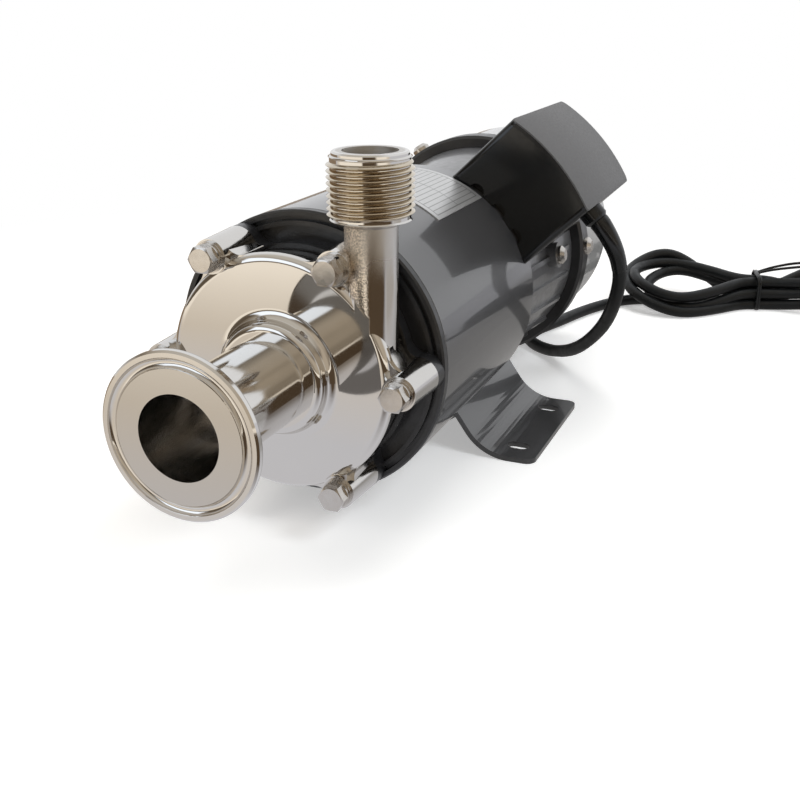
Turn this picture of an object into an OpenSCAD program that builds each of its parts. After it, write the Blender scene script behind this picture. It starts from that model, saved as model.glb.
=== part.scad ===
// Sanitary centrifugal pump, close coupled to a foot mounted single phase motor.
// The shaft runs along Y and the clamp inlet faces -Y.
// The threaded outlet points up and the feet stand on Z = 0.

/* [Inlet] */
// Outside diameter of the clamp flange
flange_d = 50.5; // [49:0.5:53]
// Thickness of the clamp flange at its rim
flange_t = 2.85; // [2.4:0.05:4]
// Slope of the flange's back face in degrees
flange_taper = 20; // [15:1:25]
// Mean diameter of the gasket groove
groove_d = 43.5; // [41:0.1:44.5]
// Section radius of the gasket groove
groove_r = 1.6; // [1:0.1:2]
// Bore of the inlet tube
inlet_bore = 26; // [22:0.5:28]
// Wall of the inlet tube
inlet_wall = 1.5; // [1:0.1:2]
// Distance from the flange face to the casing's front disc
inlet_len = 56; // [45:1:80]

/* [Casing] */
// Diameter of the casing's front disc
casing_d = 78.5; // [76:0.5:81]
// Depth of the casing from its front disc to the bracket
casing_depth = 16; // [15:0.5:20]
// Rounding of the front disc's edge
casing_edge = 3; // [1:0.25:4]
// Thickness of the casing's front wall
front_wall = 2.5; // [2:0.25:3]
// Diameter of the boss that carries the inlet tube
boss_d = 37; // [34:0.5:42]
// Length of the boss in front of the disc
boss_len = 6; // [4:0.5:10]
// Fillet between the boss and the disc
boss_fillet = 3.5; // [1:0.25:4]
// Rounding of the boss's front edge
boss_edge = 2.5; // [1:0.25:2.5]
// Bore of the port from the inlet into the impeller's eye
eye_d = 24; // [20:0.5:25.5]
// Gap between the impeller and the volute at its tongue
volute_gap = 1.5; // [1:0.1:2]
// Angle of the volute's tongue above the outlet side
tongue_angle = 30; // [25:1:40]
// Depth of the seat for the back plate
register_depth = 2.5; // [2:0.25:3]
// Wall of the casing around the back plate's seat
register_wall = 3.05; // [2.6:0.05:3.4]

/* [Outlet] */
// Distance of the outlet's axis from the shaft
outlet_x = 30; // [29.8:0.1:30.5]
// Distance of the outlet's axis behind the front disc
outlet_depth = 7.8; // [7.6:0.1:8]
// Outside diameter of the outlet pipe
outlet_pipe_d = 16.3; // [15:0.1:17]
// Bore of the outlet pipe
outlet_pipe_bore = 10; // [8:0.1:10.2]
// Height of the outlet's mouth above the shaft
outlet_top = 71; // [65:0.5:90]
// Major diameter of the pipe thread
thread_d = 26.44; // [25:0.02:33]
// Length of the threaded band
thread_len = 17.6; // [14:0.2:20]
// Diameter of the plain rim above the thread
rim_d = 23.2; // [21:0.1:24.5]
// Height of the plain rim above the thread
rim_h = 2; // [1:0.25:4]
// Height of the flare under the thread
flare_h = 2.2; // [1:0.1:5]
// Fillet between the outlet pipe and the lug beside it
outlet_fillet = 8; // [4:0.5:10]
// Bore of the outlet's mouth
mouth_bore = 17; // [14:0.5:20]

/* [Casing bolts] */
// Distance of the casing bolts outside the casing's rim
bolt_out = 3.25; // [3:0.05:3.75]
// Number of casing bolts
bolt_count = 6; // [4:1:6]
// Shank diameter of a casing bolt
bolt_d = 5; // [4:0.5:5]
// Width across the flats of a bolt head
bolt_af = 8; // [7:0.5:9]
// Height of a bolt head
bolt_head = 3.5; // [2.5:0.25:5]
// Length of a bolt shank
bolt_len = 25; // [24:0.5:26]
// Outside diameter of a flat washer
washer_d = 10; // [9.5:0.5:11]
// Thickness of a flat washer
washer_t = 1; // [0.5:0.1:1.6]
// Outside diameter of a spring washer
lock_d = 9.2; // [8:0.1:9.4]
// Thickness of a spring washer
lock_t = 1.2; // [0.8:0.1:1.8]
// Gap in a spring washer
lock_gap = 1; // [0.5:0.1:2]
// Diameter of a lug beside its bolt head
lug_d = 11.2; // [10.8:0.1:12]
// Diameter of a lug at the bracket
lug_rear_d = 12.8; // [11.5:0.1:12.9]
// Height of a lug's face in front of the disc
lug_rise = 1.5; // [0.5:0.25:3]
// Fillet that leads from the casing's rim into a lug
lug_fillet = 7; // [3:0.5:10]
// Distance of the lug's fillets behind the disc
lug_web = 1.5; // [0.5:0.25:3]

/* [Impeller and seal] */
// Outside diameter of the impeller
impeller_d = 59; // [54:0.5:60]
// Number of impeller vanes
vane_count = 6; // [4:1:8]
// Thickness of a vane
vane_t = 2; // [1.4:0.1:2.6]
// Thickness of the impeller's back shroud
shroud_t = 2; // [1.5:0.1:2.6]
// Running gap in front of and behind the impeller
impeller_gap = 0.6; // [0.4:0.1:1]
// Diameter of the impeller's hub
hub_d = 16; // [14:0.5:18]
// Shaft diameter in the impeller
impeller_shaft_d = 8; // [7:0.5:9]
// Width across the flats of the impeller nut
nut_af = 13; // [12:0.5:14]
// Length of the impeller nut
nut_len = 8; // [6:0.5:10]
// Outside diameter of the seal cup behind the back plate
cup_d = 29; // [27:0.5:30]
// Wall of the seal cup
cup_wall = 2.2; // [1.6:0.1:2.6]
// Depth of the seal cup behind the back plate's front face
cup_depth = 17.5; // [16:0.5:19]
// Thickness of the stationary seal seat
seat_t = 3.5; // [2.5:0.25:4.5]
// Thickness of the rotating seal ring
seal_ring_t = 3; // [2:0.25:4]
// Outside diameter of the rotating seal ring
seal_ring_d = 20; // [18:0.5:21]
// Number of folds in the seal bellows
bellows_folds = 3; // [2:1:4]
// Section diameter of the casing's O-ring
oring_d = 1.9; // [1.5:0.1:2]

/* [Bracket] */
// Distance from the casing to the motor sleeve
bracket_len = 8; // [7.5:0.25:12]
// Step from the casing's rim down to the bracket's neck
neck_step = 0.75; // [0.25:0.25:1.5]
// Thickness of the back plate behind the casing's rear face
plate_rest = 2.5; // [2:0.25:3.5]
// Height of the bracket's rim face
rim_band = 2; // [1.5:0.25:2.5]
// Length of the spigot inside the sleeve
spigot_len = 6; // [4:0.5:9]
// Wall around each bearing
bearing_wall = 4.5; // [3:0.5:6]

/* [Motor] */
// Height of the shaft above the feet
shaft_h = 56; // [56:0.5:63]
// Outside diameter of the motor sleeve
sleeve_d = 98; // [97.5:0.1:98.5]
// Wall of the motor sleeve
sleeve_wall = 1.5; // [1.2:0.1:2]
// Length of the motor sleeve
sleeve_len = 98; // [92:1:115]
// Shaft diameter in the bearings
shaft_d = 12; // [11:0.5:12.5]
// Shaft diameter in the rotor
rotor_shaft_d = 16; // [14:0.5:18]
// Length of the stator core
stator_len = 50; // [40:1:55]
// Distance of the stator core's rear face in front of the sleeve's rear edge
stator_back = 8.5; // [7:0.5:12]
// Outside diameter of the rotor
rotor_d = 51; // [46:0.5:54]
// Air gap between the rotor and the stator
air_gap = 0.5; // [0.3:0.05:0.8]
// Overhang of the windings at each end of the core
winding_len = 16; // [10:0.5:17]
// Outside diameter of the ball bearings
bearing_d = 32; // [30:0.5:34]
// Width of the ball bearings
bearing_w = 10; // [9:0.5:11]
// Diameter of a bearing ball
ball_d = 5.9; // [5.4:0.1:6.2]
// Number of balls in a bearing
ball_count = 7; // [6:1:8]

/* [Rear shield] */
// Length of the rear shield behind the sleeve
shield_len = 71; // [64:1:80]
// Step from the sleeve down to the rear shield's small end
shield_step = 8; // [6:0.25:9]
// Step from the sleeve down to the rear shield's wide end
shield_drop = 2.5; // [2:0.25:3.5]
// Wall of the rear shield
shield_wall = 3; // [2.5:0.25:4]
// Number of ribs on the rear shield
rib_count = 24; // [12:1:28]
// Angle above the horizontal up to which the shield has ribs
rib_reach = 20; // [0:1:30]
// Width of a rib
rib_w = 2; // [1.5:0.1:3]
// Height of a rib
rib_h = 1.2; // [0.8:0.1:1.6]
// Distance of the shield screws behind the sleeve
shield_screw_y = 44; // [36:1:52]
// Height of the shield screws' bosses above the shield's wide end
screw_boss_h = 1.6; // [1:0.1:2]
// Head diameter of the shield and ring screws
screw_head_d = 8; // [7:0.25:9]
// Shank diameter of the shield and ring screws
screw_d = 4; // [3:0.25:4.5]
// Head height of the shield and ring screws
screw_head_h = 3; // [2:0.25:5]

/* [Fan cover] */
// Outside diameter of the clamping ring
ring_d = 103.4; // [102.5:0.1:105]
// Width of the clamping ring
ring_w = 12; // [10:0.5:14]
// Thickness of the clamping ring over the rear shield's rim
ring_t = 5.2; // [4.5:0.1:6]
// Step from the clamping ring down to the fan cover
cover_step = 2.2; // [1.8:0.1:3]
// Lap of the clamping ring over the fan cover
cover_lap = 4; // [3:0.5:5]
// Bend of the fan cover's rear edge
cover_bend = 6; // [3:0.5:8]
// Wall of the fan cover
cover_wall = 1.6; // [1.2:0.1:2]
// Length of the fan cover behind the clamping ring
cover_len = 51; // [46:1:60]
// Number of slots in the fan cover's grille
slot_count = 24; // [16:1:28]
// Width of a grille slot
slot_w = 3.2; // [2:0.2:3.6]
// Diameter of the fan
fan_d = 84; // [70:1:90]
// Length of the fan blades along the shaft
fan_len = 22; // [14:1:26]
// Number of fan blades
blade_count = 8; // [5:1:11]
// Thickness of a fan blade
blade_t = 2; // [1.2:0.1:2.6]

/* [Feet] */
// Length of a foot along the shaft
foot_len = 68; // [62:1:76]
// Distance from the sleeve's front edge to the middle of the feet
foot_offset = 93.5; // [90:0.5:96]
// Thickness of the foot's sheet
foot_t = 2; // [1.5:0.1:2.5]
// Overall width across the feet
foot_width = 125; // [122:1:135]
// Slope of a foot's leg in degrees
leg_angle = 54.8; // [52:0.1:58]
// Bend radius between the leg and the base
foot_bend = 19.3; // [12:0.1:20]
// Width of the base from its outer edge to the leg's corner
base_w = 20.2; // [18:0.1:22]
// Angle below the horizontal at which the foot's saddle ends
saddle_end = 78; // [68:1:84]
// Distance of the slots from the base's outer edge
slot_edge = 9.5; // [8.5:0.25:10]
// Spacing of the slots along the shaft
slot_span_y = 44; // [36:0.5:48]
// Width of a mounting slot
foot_slot_w = 5.8; // [5:0.1:7]
// Length of a mounting slot
foot_slot_len = 8.8; // [8:0.1:10]
// Corner radius of the base
foot_corner = 4; // [1:0.25:6]

/* [Terminal box] */
// Angle of the terminal box above the horizontal
box_angle = 43.6; // [40:0.1:50]
// Length of the terminal box along the shaft
box_len = 73; // [66:0.5:74]
// Width of the terminal box
box_w = 44.5; // [42:0.5:45]
// Overlap of the box onto the sleeve's rear edge
box_overlap = 8; // [4:0.5:10]
// Wall of the terminal box
box_wall = 2.5; // [2:0.25:3]
// Corner rounding of the terminal box
box_corner = 2.5; // [1:0.25:4]
// Height of the parting of box and lid above the gland's axis
gland_cover = 11.5; // [10:0.25:13]
// Height of the lid's band
lid_h = 2; // [1.5:0.25:4]
// Wall of the lid
lid_wall = 2; // [1.5:0.25:2.5]
// Distance of the nearer fixing screw from the box's front wall
box_screw_y = 30; // [26:1:34]
// Spacing of the two fixing screws
box_screw_step = 28; // [22:1:30]
// Height of the capacitor
cap_h = 17; // [14:0.5:20]
// Length of the capacitor
cap_len = 40; // [34:1:42]
// Width of the capacitor
cap_w = 14; // [10:0.5:14]
// Height of the terminal block
block_h = 12; // [10:0.5:16]
// Length of the terminal block
block_len = 14; // [10:0.5:15]
// Width of the terminal block
block_w = 30; // [24:0.5:32]
// Radius of the wire notches in the box's front wall
notch_r = 3.2; // [2:0.1:3.5]
// Angle between two wire notches
notch_step = 13.4; // [11:0.1:15]
// Diameter of the cable gland
gland_d = 10; // [9:0.25:10.5]
// Length of the cable gland outside the box
gland_len = 5.5; // [4:0.25:8]
// Radius from the shaft to the gland's axis
gland_rad = 66.5; // [64:0.25:68]

/* [Cord] */
// Diameter of the power cord
cord_d = 6; // [5:0.25:6.5]
// Length of the tied hank
hank_len = 146; // [144:1:160]
// Width of the tied hank's wide end
hank_w = 56; // [50:1:60]
// Width of the tied hank's narrow end
hank_narrow = 48; // [40:1:56]
// Height of the tied hank
hank_h = 28; // [20:0.5:30]
// Height of the hank under its tie
waist_h = 19; // [16:0.5:20]
// Length of the plug's body
plug_len = 42; // [36:1:50]
// Width of the plug's body
plug_w = 34; // [30:1:38]
// Height of the plug's body
plug_h = 20; // [18:0.5:24]

/* [Hidden] */
$fn = 64;
steel = [0.80, 0.76, 0.70];
gray = [0.42, 0.42, 0.43];
black = [0.06, 0.06, 0.06];
plastic = [0.05, 0.05, 0.05];
// Clearance of a seated fit, of a screw in its hole and of a bolt in a lug
seat = 0.05;
screw_clear = 0.3;
bolt_clear = 0.5;
// Length by which a cut runs past a face, and depth to which a fillet runs into the faces that it joins
past = 1;
blend = 0.3;
// Places along the shaft, from the inlet to the fan
y_sleeve = -foot_offset;
y_mate = y_sleeve - bracket_len;
y_disc = y_mate - casing_depth;
y_face = y_disc - inlet_len;
y_lug = y_disc - lug_rise;
y_plate = y_mate - register_depth;
y_plate_back = y_mate + plate_rest;
y_cup = y_plate + cup_depth;
y_sleeve_end = y_sleeve + sleeve_len;
y_shield_end = y_sleeve_end + shield_len;
y_core_end = y_sleeve_end - stator_back;
y_core = y_core_end - stator_len;
y_ring_end = y_shield_end + ring_w;
y_cover_end = y_ring_end + cover_len;
// Radii that several pieces share
sleeve_r = sleeve_d / 2;
sleeve_in = sleeve_r - sleeve_wall;
casing_r = casing_d / 2;
inlet_r = inlet_bore / 2;
tube_r = inlet_r + inlet_wall;
flange_r = flange_d / 2;
flange_edge = 0.6;
bolt_r = casing_r + bolt_out;
bolt_end = y_lug - washer_t - lock_t + bolt_len;
hole_d = bolt_d + bolt_clear;
tapped_d = bolt_d + 2 * seat;
thread_r = thread_d / 2;
register_r = casing_r - register_wall;
register_d = 2 * register_r;
outlet_pipe_r = outlet_pipe_d / 2;
collar = outlet_top - rim_h - thread_len;
volute_start = impeller_d / 2 + volute_gap;
volute_end = outlet_x + outlet_pipe_bore / 2;
neck_r = casing_r - neck_step;
shield_front_r = sleeve_r - shield_step;
shield_wide_r = sleeve_r - shield_drop;
ring_r = ring_d / 2;
rim_r = ring_r - ring_t;
cover_r = ring_r - cover_step;
screw_boss_r = shield_wide_r + screw_boss_h;
part_r = gland_rad + gland_cover;
lid_r = part_r + lid_h;
y_outlet = y_disc + outlet_depth;
// The rotating pieces behind and in front of the impeller
y_imp_back = y_plate - impeller_gap;
y_imp_front = y_disc + front_wall + impeller_gap;
nut_front = y_imp_front - nut_len;
cup_end_wall = 2;
y_seat_back = y_cup - cup_end_wall;
y_seat_front = y_seat_back - seat_t;
film = 0.05;
oring_groove = oring_d + 0.5;
oring_lip = 0.4;
oring_place = y_plate + oring_lip + oring_groove / 2;
y_ring_back = y_seat_front - film;
y_ring_front = y_ring_back - seal_ring_t;
// The bearings and the shaft's shoulders
bearing_r = bearing_d / 2;
pitch_r = (shaft_d / 2 + bearing_r) / 2;
groove_clear = 0.12;
cage_t = 1.6;
cage_side = 1;
prong_w = 2.6;
wave_t = 1;
web_t = 3;
y_bearing = y_cup + 1 + web_t;
y_bearing_end = y_bearing + bearing_w;
rear_web = 6;
y_rear_bearing_end = y_shield_end - 3.5;
y_rear_bearing = y_rear_bearing_end - bearing_w;
hub_r = bearing_r + bearing_wall;
rim_len = ring_w - 1.5;
fan_gap = 15;
y_fan = y_shield_end + fan_gap;
y_shaft_end = y_fan + fan_len - 4;
fan_shaft_d = shaft_d - 2;
// The terminal box stands on the sleeve and on a pad of the rear shield
y_box = y_sleeve_end - box_overlap;
y_box_end = y_box + box_len;
y_box_mid = y_box + box_len / 2;
box_seat_r = sleeve_r + seat;
box_floor = 2.5;
gland_step = 0.75;
pad_w = 32;
pad_front = y_sleeve_end + 5;
pad_back = y_box_end - 4;
box_screw_places = [y_box + box_screw_y, y_box + box_screw_y + box_screw_step];
// Ring screws and shield screws
ring_angles = [4.5, 124.5, 244.5];
shield_angles = [8, 128, 248];
y_ring_screw = y_shield_end + ring_w / 2;
y_shield_screw = y_sleeve_end + shield_screw_y;
screw_reach = 6;
ring_reach = 5;
boss_screw_d = screw_head_d + 3;
// The foot's sheet, drawn beside the shaft's plane
saddle_in = sleeve_r + seat;
base_top = foot_t - shaft_h;
leg_corner = [foot_width / 2 - base_w, base_top];
leg_up = [-cos(leg_angle), sin(leg_angle)];
leg_slip = leg_corner * leg_up;
leg_run = -leg_slip - sqrt(leg_slip * leg_slip - leg_corner * leg_corner + saddle_in * saddle_in);
leg_root = leg_corner + leg_run * leg_up;
bend_tangent = foot_bend * tan(leg_angle / 2);
// Route of the power cord from the gland to the hank, then from the hank to the plug
gland_x = gland_rad * cos(box_angle) + (box_w / 2 + gland_len) * sin(box_angle);
gland_z = shaft_h + gland_rad * sin(box_angle) - (box_w / 2 + gland_len) * cos(box_angle);
cord_route = [[gland_x, y_box_mid, gland_z],
    [gland_x + 5 * sin(box_angle), y_box_mid, gland_z - 5 * cos(box_angle)],
    [74, 34, 72.5], [76, 35.8, 66], [76.7, 39, 59], [74, 45, 46], [68, 56, 32], [60, 66, 21],
    [51, 76, 12], [41, 87, 6], [31, 96, 3], [21.5, 103.8, 3], [17.9, 110.7, 3], [16.7, 118.3, 3],
    [18, 126, 3], [25, 146, 3], [31, 166, 3], [37.5, 182, 3], [43.7, 193, 3], [50.5, 202.8, 3]];
hank_pos = [118, 225];
hank_turn = 17.3;
plug_turn = 33;
plug_pos = [232, 271, plug_h / 2];
plug_way = [cos(plug_turn), sin(plug_turn), 0];
tail_route = [[186.7, 246.4, 3], [200, 251, 3], [212, 257.5, 5],
    plug_pos - 9 * plug_way, plug_pos + past * plug_way];
tie_w = 12;
waist_w = 20;

function mix(a, b, t) = a + (b - a) * t;
function unit(v) = v / norm(v);
// A smooth curve through the points of a route
function spline(p0, p1, p2, p3, t) = 0.5 * (2 * p1 + (p2 - p0) * t + (2 * p0 - 5 * p1 + 4 * p2 - p3) * t * t
    + (3 * p1 - p0 - 3 * p2 + p3) * t * t * t);
function route_points(route, steps) = let (n = len(route) - 1)
    [for (i = [0 : n - 1]) for (s = [0 : steps - 1])
        spline(route[max(i - 1, 0)], route[i], route[i + 1], route[min(i + 2, n)], s / steps), route[n]];
function heading(points, i) = let (n = len(points) - 1)
    unit(points[min(i + 1, n)] - points[max(i - 1, 0)]);
// Backward curved vane: the angle that it has turned at a radius
function vane_turn(r, r0) = -62 * ln(r / r0);
function vane_edge(r0, r1, side) = [for (i = [0 : 8]) let (r = mix(r0, r1, i / 8), a = vane_turn(r, r0))
    r * [cos(a), sin(a)] + side * [-sin(a - 43), cos(a - 43)]];
function volute_r(a) = mix(volute_start, volute_end, (a - tongue_angle) / (360 - tongue_angle));

module shaft_axis(y) {
    translate([0, y, shaft_h]) rotate([-90, 0, 0]) children();
}

module rod(y0, y1, d) {
    shaft_axis(y0) cylinder(d = d, h = y1 - y0);
}

// A solid of revolution about the shaft: x is the radius and y the distance behind the plane
module spun(y) {
    shaft_axis(y) rotate_extrude() children();
}

// Turns to an angle above the horizontal: local X points away from the shaft
module around(a) {
    translate([0, 0, shaft_h]) rotate([0, -a, 0]) children();
}

// A flat shape drawn as seen from the inlet, extruded along the shaft
module slab(y0, y1) {
    translate([0, y1, shaft_h]) rotate([90, 0, 0]) linear_extrude(height = y1 - y0) children();
}

module hex_prism(af, h) {
    linear_extrude(height = h) circle(d = af / cos(30), $fn = 6);
}

module rounded(l, w, r) {
    translate([r - l / 2, -w / 2]) square([l - 2 * r, w]);
    translate([-l / 2, r - w / 2]) square([l, w - 2 * r]);
    for (x = [-1, 1], y = [-1, 1]) translate([x * (l / 2 - r), y * (w / 2 - r)]) circle(r = r);
}

// A tube along a route, as rings square to its path
module swept(route, d, sides, steps) {
    points = route_points(route, steps);
    n = len(points);
    rings = [for (i = [0 : n - 1])
        let (h = heading(points, i), side = unit(cross(h, abs(h[2]) > 0.9 ? [0, 1, 0] : [0, 0, 1])))
            let (up = cross(side, h)) for (k = [0 : sides - 1])
                points[i] + d / 2 * (cos(360 * k / sides) * side + sin(360 * k / sides) * up)];
    skin = [for (i = [0 : n - 2]) for (k = [0 : sides - 1]) let (m = (k + 1) % sides)
        [i * sides + k, i * sides + m, (i + 1) * sides + m, (i + 1) * sides + k]];
    first = [for (k = [sides - 1 : -1 : 0]) k];
    last = [for (k = [0 : sides - 1]) (n - 1) * sides + k];
    polyhedron(rings, concat([first], skin, [last]));
}

module inlet_ferrule() {
    color(steel) spun(y_face) difference() {
        polygon([[inlet_r, 0], [flange_r - flange_edge, 0], [flange_r, flange_edge],
            [flange_r, flange_t - flange_edge], [flange_r - flange_edge, flange_t],
            [tube_r, flange_t + (flange_r - flange_edge - tube_r) * tan(flange_taper)],
            [tube_r, inlet_len - boss_len], [inlet_r, inlet_len - boss_len]]);
        translate([groove_d / 2, -0.2]) circle(r = groove_r);
    }
}

module casing_profile() {
    square([casing_r - casing_edge, casing_depth]);
    translate([0, casing_edge]) square([casing_r, casing_depth - casing_edge]);
    translate([casing_r - casing_edge, casing_edge]) circle(r = casing_edge);
    translate([0, -boss_len]) square([boss_d / 2 - boss_edge, boss_len + past]);
    translate([0, boss_edge - boss_len]) square([boss_d / 2, boss_len - boss_edge + past]);
    translate([boss_d / 2 - boss_edge, boss_edge - boss_len]) circle(r = boss_edge);
    difference() {
        translate([boss_d / 2 - past, -boss_fillet]) square([boss_fillet + past, boss_fillet + past]);
        translate([boss_d / 2 + boss_fillet, -boss_fillet]) circle(r = boss_fillet);
    }
}

module along(y0, y1) {
    translate([0, y1, 0]) rotate([90, 0, 0]) linear_extrude(height = y1 - y0) children();
}

module bolt_rod(y0, y1, d0, d1) {
    translate([bolt_r, y0, 0]) rotate([-90, 0, 0]) cylinder(d1 = d0, d2 = d1, h = y1 - y0);
}

// A lug stands at the rim of a round body, and hollow fillets lead into it on both sides
module lug_fillets(y0, y1, d, body_r) {
    a = body_r - blend + lug_fillet;
    b = d / 2 - blend + lug_fillet;
    turn = acos((a * a + bolt_r * bolt_r - b * b) / (2 * a * bolt_r));
    for (side = [-1, 1]) along(y0, y1) difference() {
        polygon([[bolt_r, 0], a * [cos(turn), side * sin(turn)],
            (body_r - casing_edge) * [cos(turn), side * sin(turn)], [body_r - casing_edge, 0]]);
        translate(a * [cos(turn), side * sin(turn)]) circle(r = lug_fillet);
    }
}

module each_bolt() {
    for (i = [0 : bolt_count - 1]) around(360 / bolt_count * i) children();
}

module outlet_body() {
    edge = thread_r - rim_d / 2;
    chamfer = 0.5;
    translate([outlet_x, y_outlet, shaft_h]) {
        sphere(d = outlet_pipe_d);
        cylinder(d = outlet_pipe_d, h = collar);
        rotate_extrude() polygon([[0, collar - flare_h], [outlet_pipe_r, collar - flare_h],
            [thread_r - edge / 2, collar - chamfer], [thread_r, collar], [thread_r, outlet_top - rim_h],
            [rim_d / 2, outlet_top - rim_h + edge / 2], [rim_d / 2, outlet_top - chamfer],
            [rim_d / 2 - chamfer, outlet_top], [0, outlet_top]]);
    }
}

// A hollow fillet between the outlet pipe and the lug beside it
module outlet_web() {
    lug_r = lug_d / 2 - blend;
    half = outlet_pipe_r * 0.6;
    x = outlet_x + outlet_pipe_r - blend + outlet_fillet;
    z = sqrt(pow(lug_r + outlet_fillet, 2) - pow(x - bolt_r, 2));
    slab(y_outlet - half, y_outlet + half) difference() {
        polygon([[outlet_x, 0], [bolt_r, 0], [x, z], [outlet_x, z]]);
        translate([x, z]) circle(r = outlet_fillet);
    }
}

module pump_casing() {
    color(steel) difference() {
        union() {
            spun(y_disc) casing_profile();
            each_bolt() {
                bolt_rod(y_lug, y_mate, lug_d, lug_rear_d);
                lug_fillets(y_disc + lug_web, y_mate, lug_d, casing_r);
            }
            // The disc is faced flat over the foot of the outlet
            difference() {
                union() {
                    outlet_body();
                    outlet_web();
                }
                rod(y_disc - outlet_pipe_d, y_disc, casing_d);
            }
        }
        slab(y_disc + front_wall, y_plate + past)
            polygon([for (i = [0 : 44])
                let (a = mix(tongue_angle, 360, i / 44)) volute_r(a) * [cos(a), sin(a)]]);
        rod(y_disc - boss_len - past, y_disc + front_wall + past, eye_d);
        rod(y_plate, y_mate + past, register_d);
        each_bolt() bolt_rod(y_lug - past, y_mate + past, hole_d, hole_d);
        translate([outlet_x, y_outlet, shaft_h]) {
            cylinder(d = outlet_pipe_bore, h = outlet_top);
            translate([0, 0, collar]) cylinder(d = mouth_bore, h = outlet_top - collar + past);
        }
    }
}

module bolt_places() {
    each_bolt() translate([bolt_r, y_lug, 0]) rotate([90, 0, 0]) children();
}

module casing_bolts() {
    color(steel) bolt_places() {
        translate([0, 0, washer_t + lock_t]) intersection() {
            hex_prism(bolt_af, bolt_head);
            rotate_extrude() polygon([[0, 0], [bolt_af, 0], [bolt_af, bolt_head * 0.5],
                [bolt_af * 0.46, bolt_head], [0, bolt_head]]);
        }
        translate([0, 0, washer_t + lock_t - bolt_len]) cylinder(d = bolt_d, h = bolt_len + past);
    }
}

module spring_washers() {
    color(steel) bolt_places() translate([0, 0, washer_t]) difference() {
        cylinder(d = lock_d, h = lock_t);
        translate([0, 0, -past]) cylinder(d = bolt_d + screw_clear, h = lock_t + 2 * past);
        translate([0, -lock_gap / 2, -past]) cube([lock_d, lock_gap, lock_t + 2 * past]);
    }
}

module flat_washers() {
    color(steel) bolt_places() difference() {
        cylinder(d = washer_d, h = washer_t);
        translate([0, 0, -past]) cylinder(d = bolt_d + screw_clear, h = washer_t + 2 * past);
    }
}

module back_plate() {
    color(steel) difference() {
        union() {
            rod(y_plate, y_plate_back, register_d - 2 * seat);
            rod(y_plate, y_cup, cup_d);
        }
        rod(y_plate - past, y_seat_back, cup_d - 2 * cup_wall);
        rod(y_plate, y_cup + past, shaft_d + 2);
        spun(oring_place) translate([register_r - oring_d - 2 * seat, -oring_groove / 2])
            square([oring_d + past, oring_groove]);
    }
}

module casing_o_ring() {
    color(black) spun(oring_place) translate([register_r - seat - oring_d / 2, 0]) circle(d = oring_d);
}

module vane(r0, r1) {
    back = vane_edge(r0, r1, -vane_t / 2);
    polygon(concat(vane_edge(r0, r1, vane_t / 2), [for (i = [len(back) - 1 : -1 : 0]) back[i]]));
}

module impeller() {
    color(steel) difference() {
        union() {
            rod(y_imp_back - shroud_t, y_imp_back, impeller_d);
            rod(y_imp_front, y_imp_back, hub_d);
            intersection() {
                slab(y_imp_front, y_imp_back - shroud_t / 2)
                    for (i = [0 : vane_count - 1]) rotate(360 / vane_count * i)
                        vane(hub_d / 2 - vane_t / 2, impeller_d / 2 + vane_t);
                rod(y_imp_front, y_imp_back, impeller_d);
            }
        }
        rod(y_imp_front - past, y_imp_back + past, impeller_shaft_d);
    }
}

module impeller_nut() {
    color(steel) difference() {
        shaft_axis(nut_front) intersection() {
            hex_prism(nut_af, nut_len);
            rotate_extrude() polygon([[0, 0], [nut_af * 0.3, 0], [nut_af * 0.48, nut_len * 0.3],
                [nut_af * 0.6, nut_len * 0.45], [nut_af * 0.6, nut_len], [0, nut_len]]);
        }
        rod(nut_front + 2, y_imp_front + past, impeller_shaft_d);
    }
}

module seal_bellows() {
    n = bellows_folds;
    l = y_ring_front - y_imp_back;
    inner = shaft_d / 2 + seat;
    outer = cup_d / 2 - cup_wall - 1;
    wall = 1.6;
    color(black) spun(y_imp_back) polygon(concat([[inner, 0]],
        [for (i = [0 : 2 * n]) [i % 2 == 0 ? outer - 1.6 : outer, l * i / (2 * n)]], [[inner, l]],
        [for (i = [2 * n - 1 : -2 : 1]) [max(inner + 0.01, inner + wall * 0.5), l * i / (2 * n)]]));
}

module seal_ring() {
    color([0.15, 0.15, 0.16]) spun(y_ring_front) translate([shaft_d / 2 + seat, 0])
        square([(seal_ring_d - shaft_d) / 2 - seat, seal_ring_t]);
}

module seal_seat() {
    color([0.9, 0.88, 0.84]) spun(y_seat_front)
        translate([shaft_d / 2 + 0.6, 0]) square([cup_d / 2 - cup_wall - seat - shaft_d / 2 - 0.6, seat_t]);
}

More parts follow.
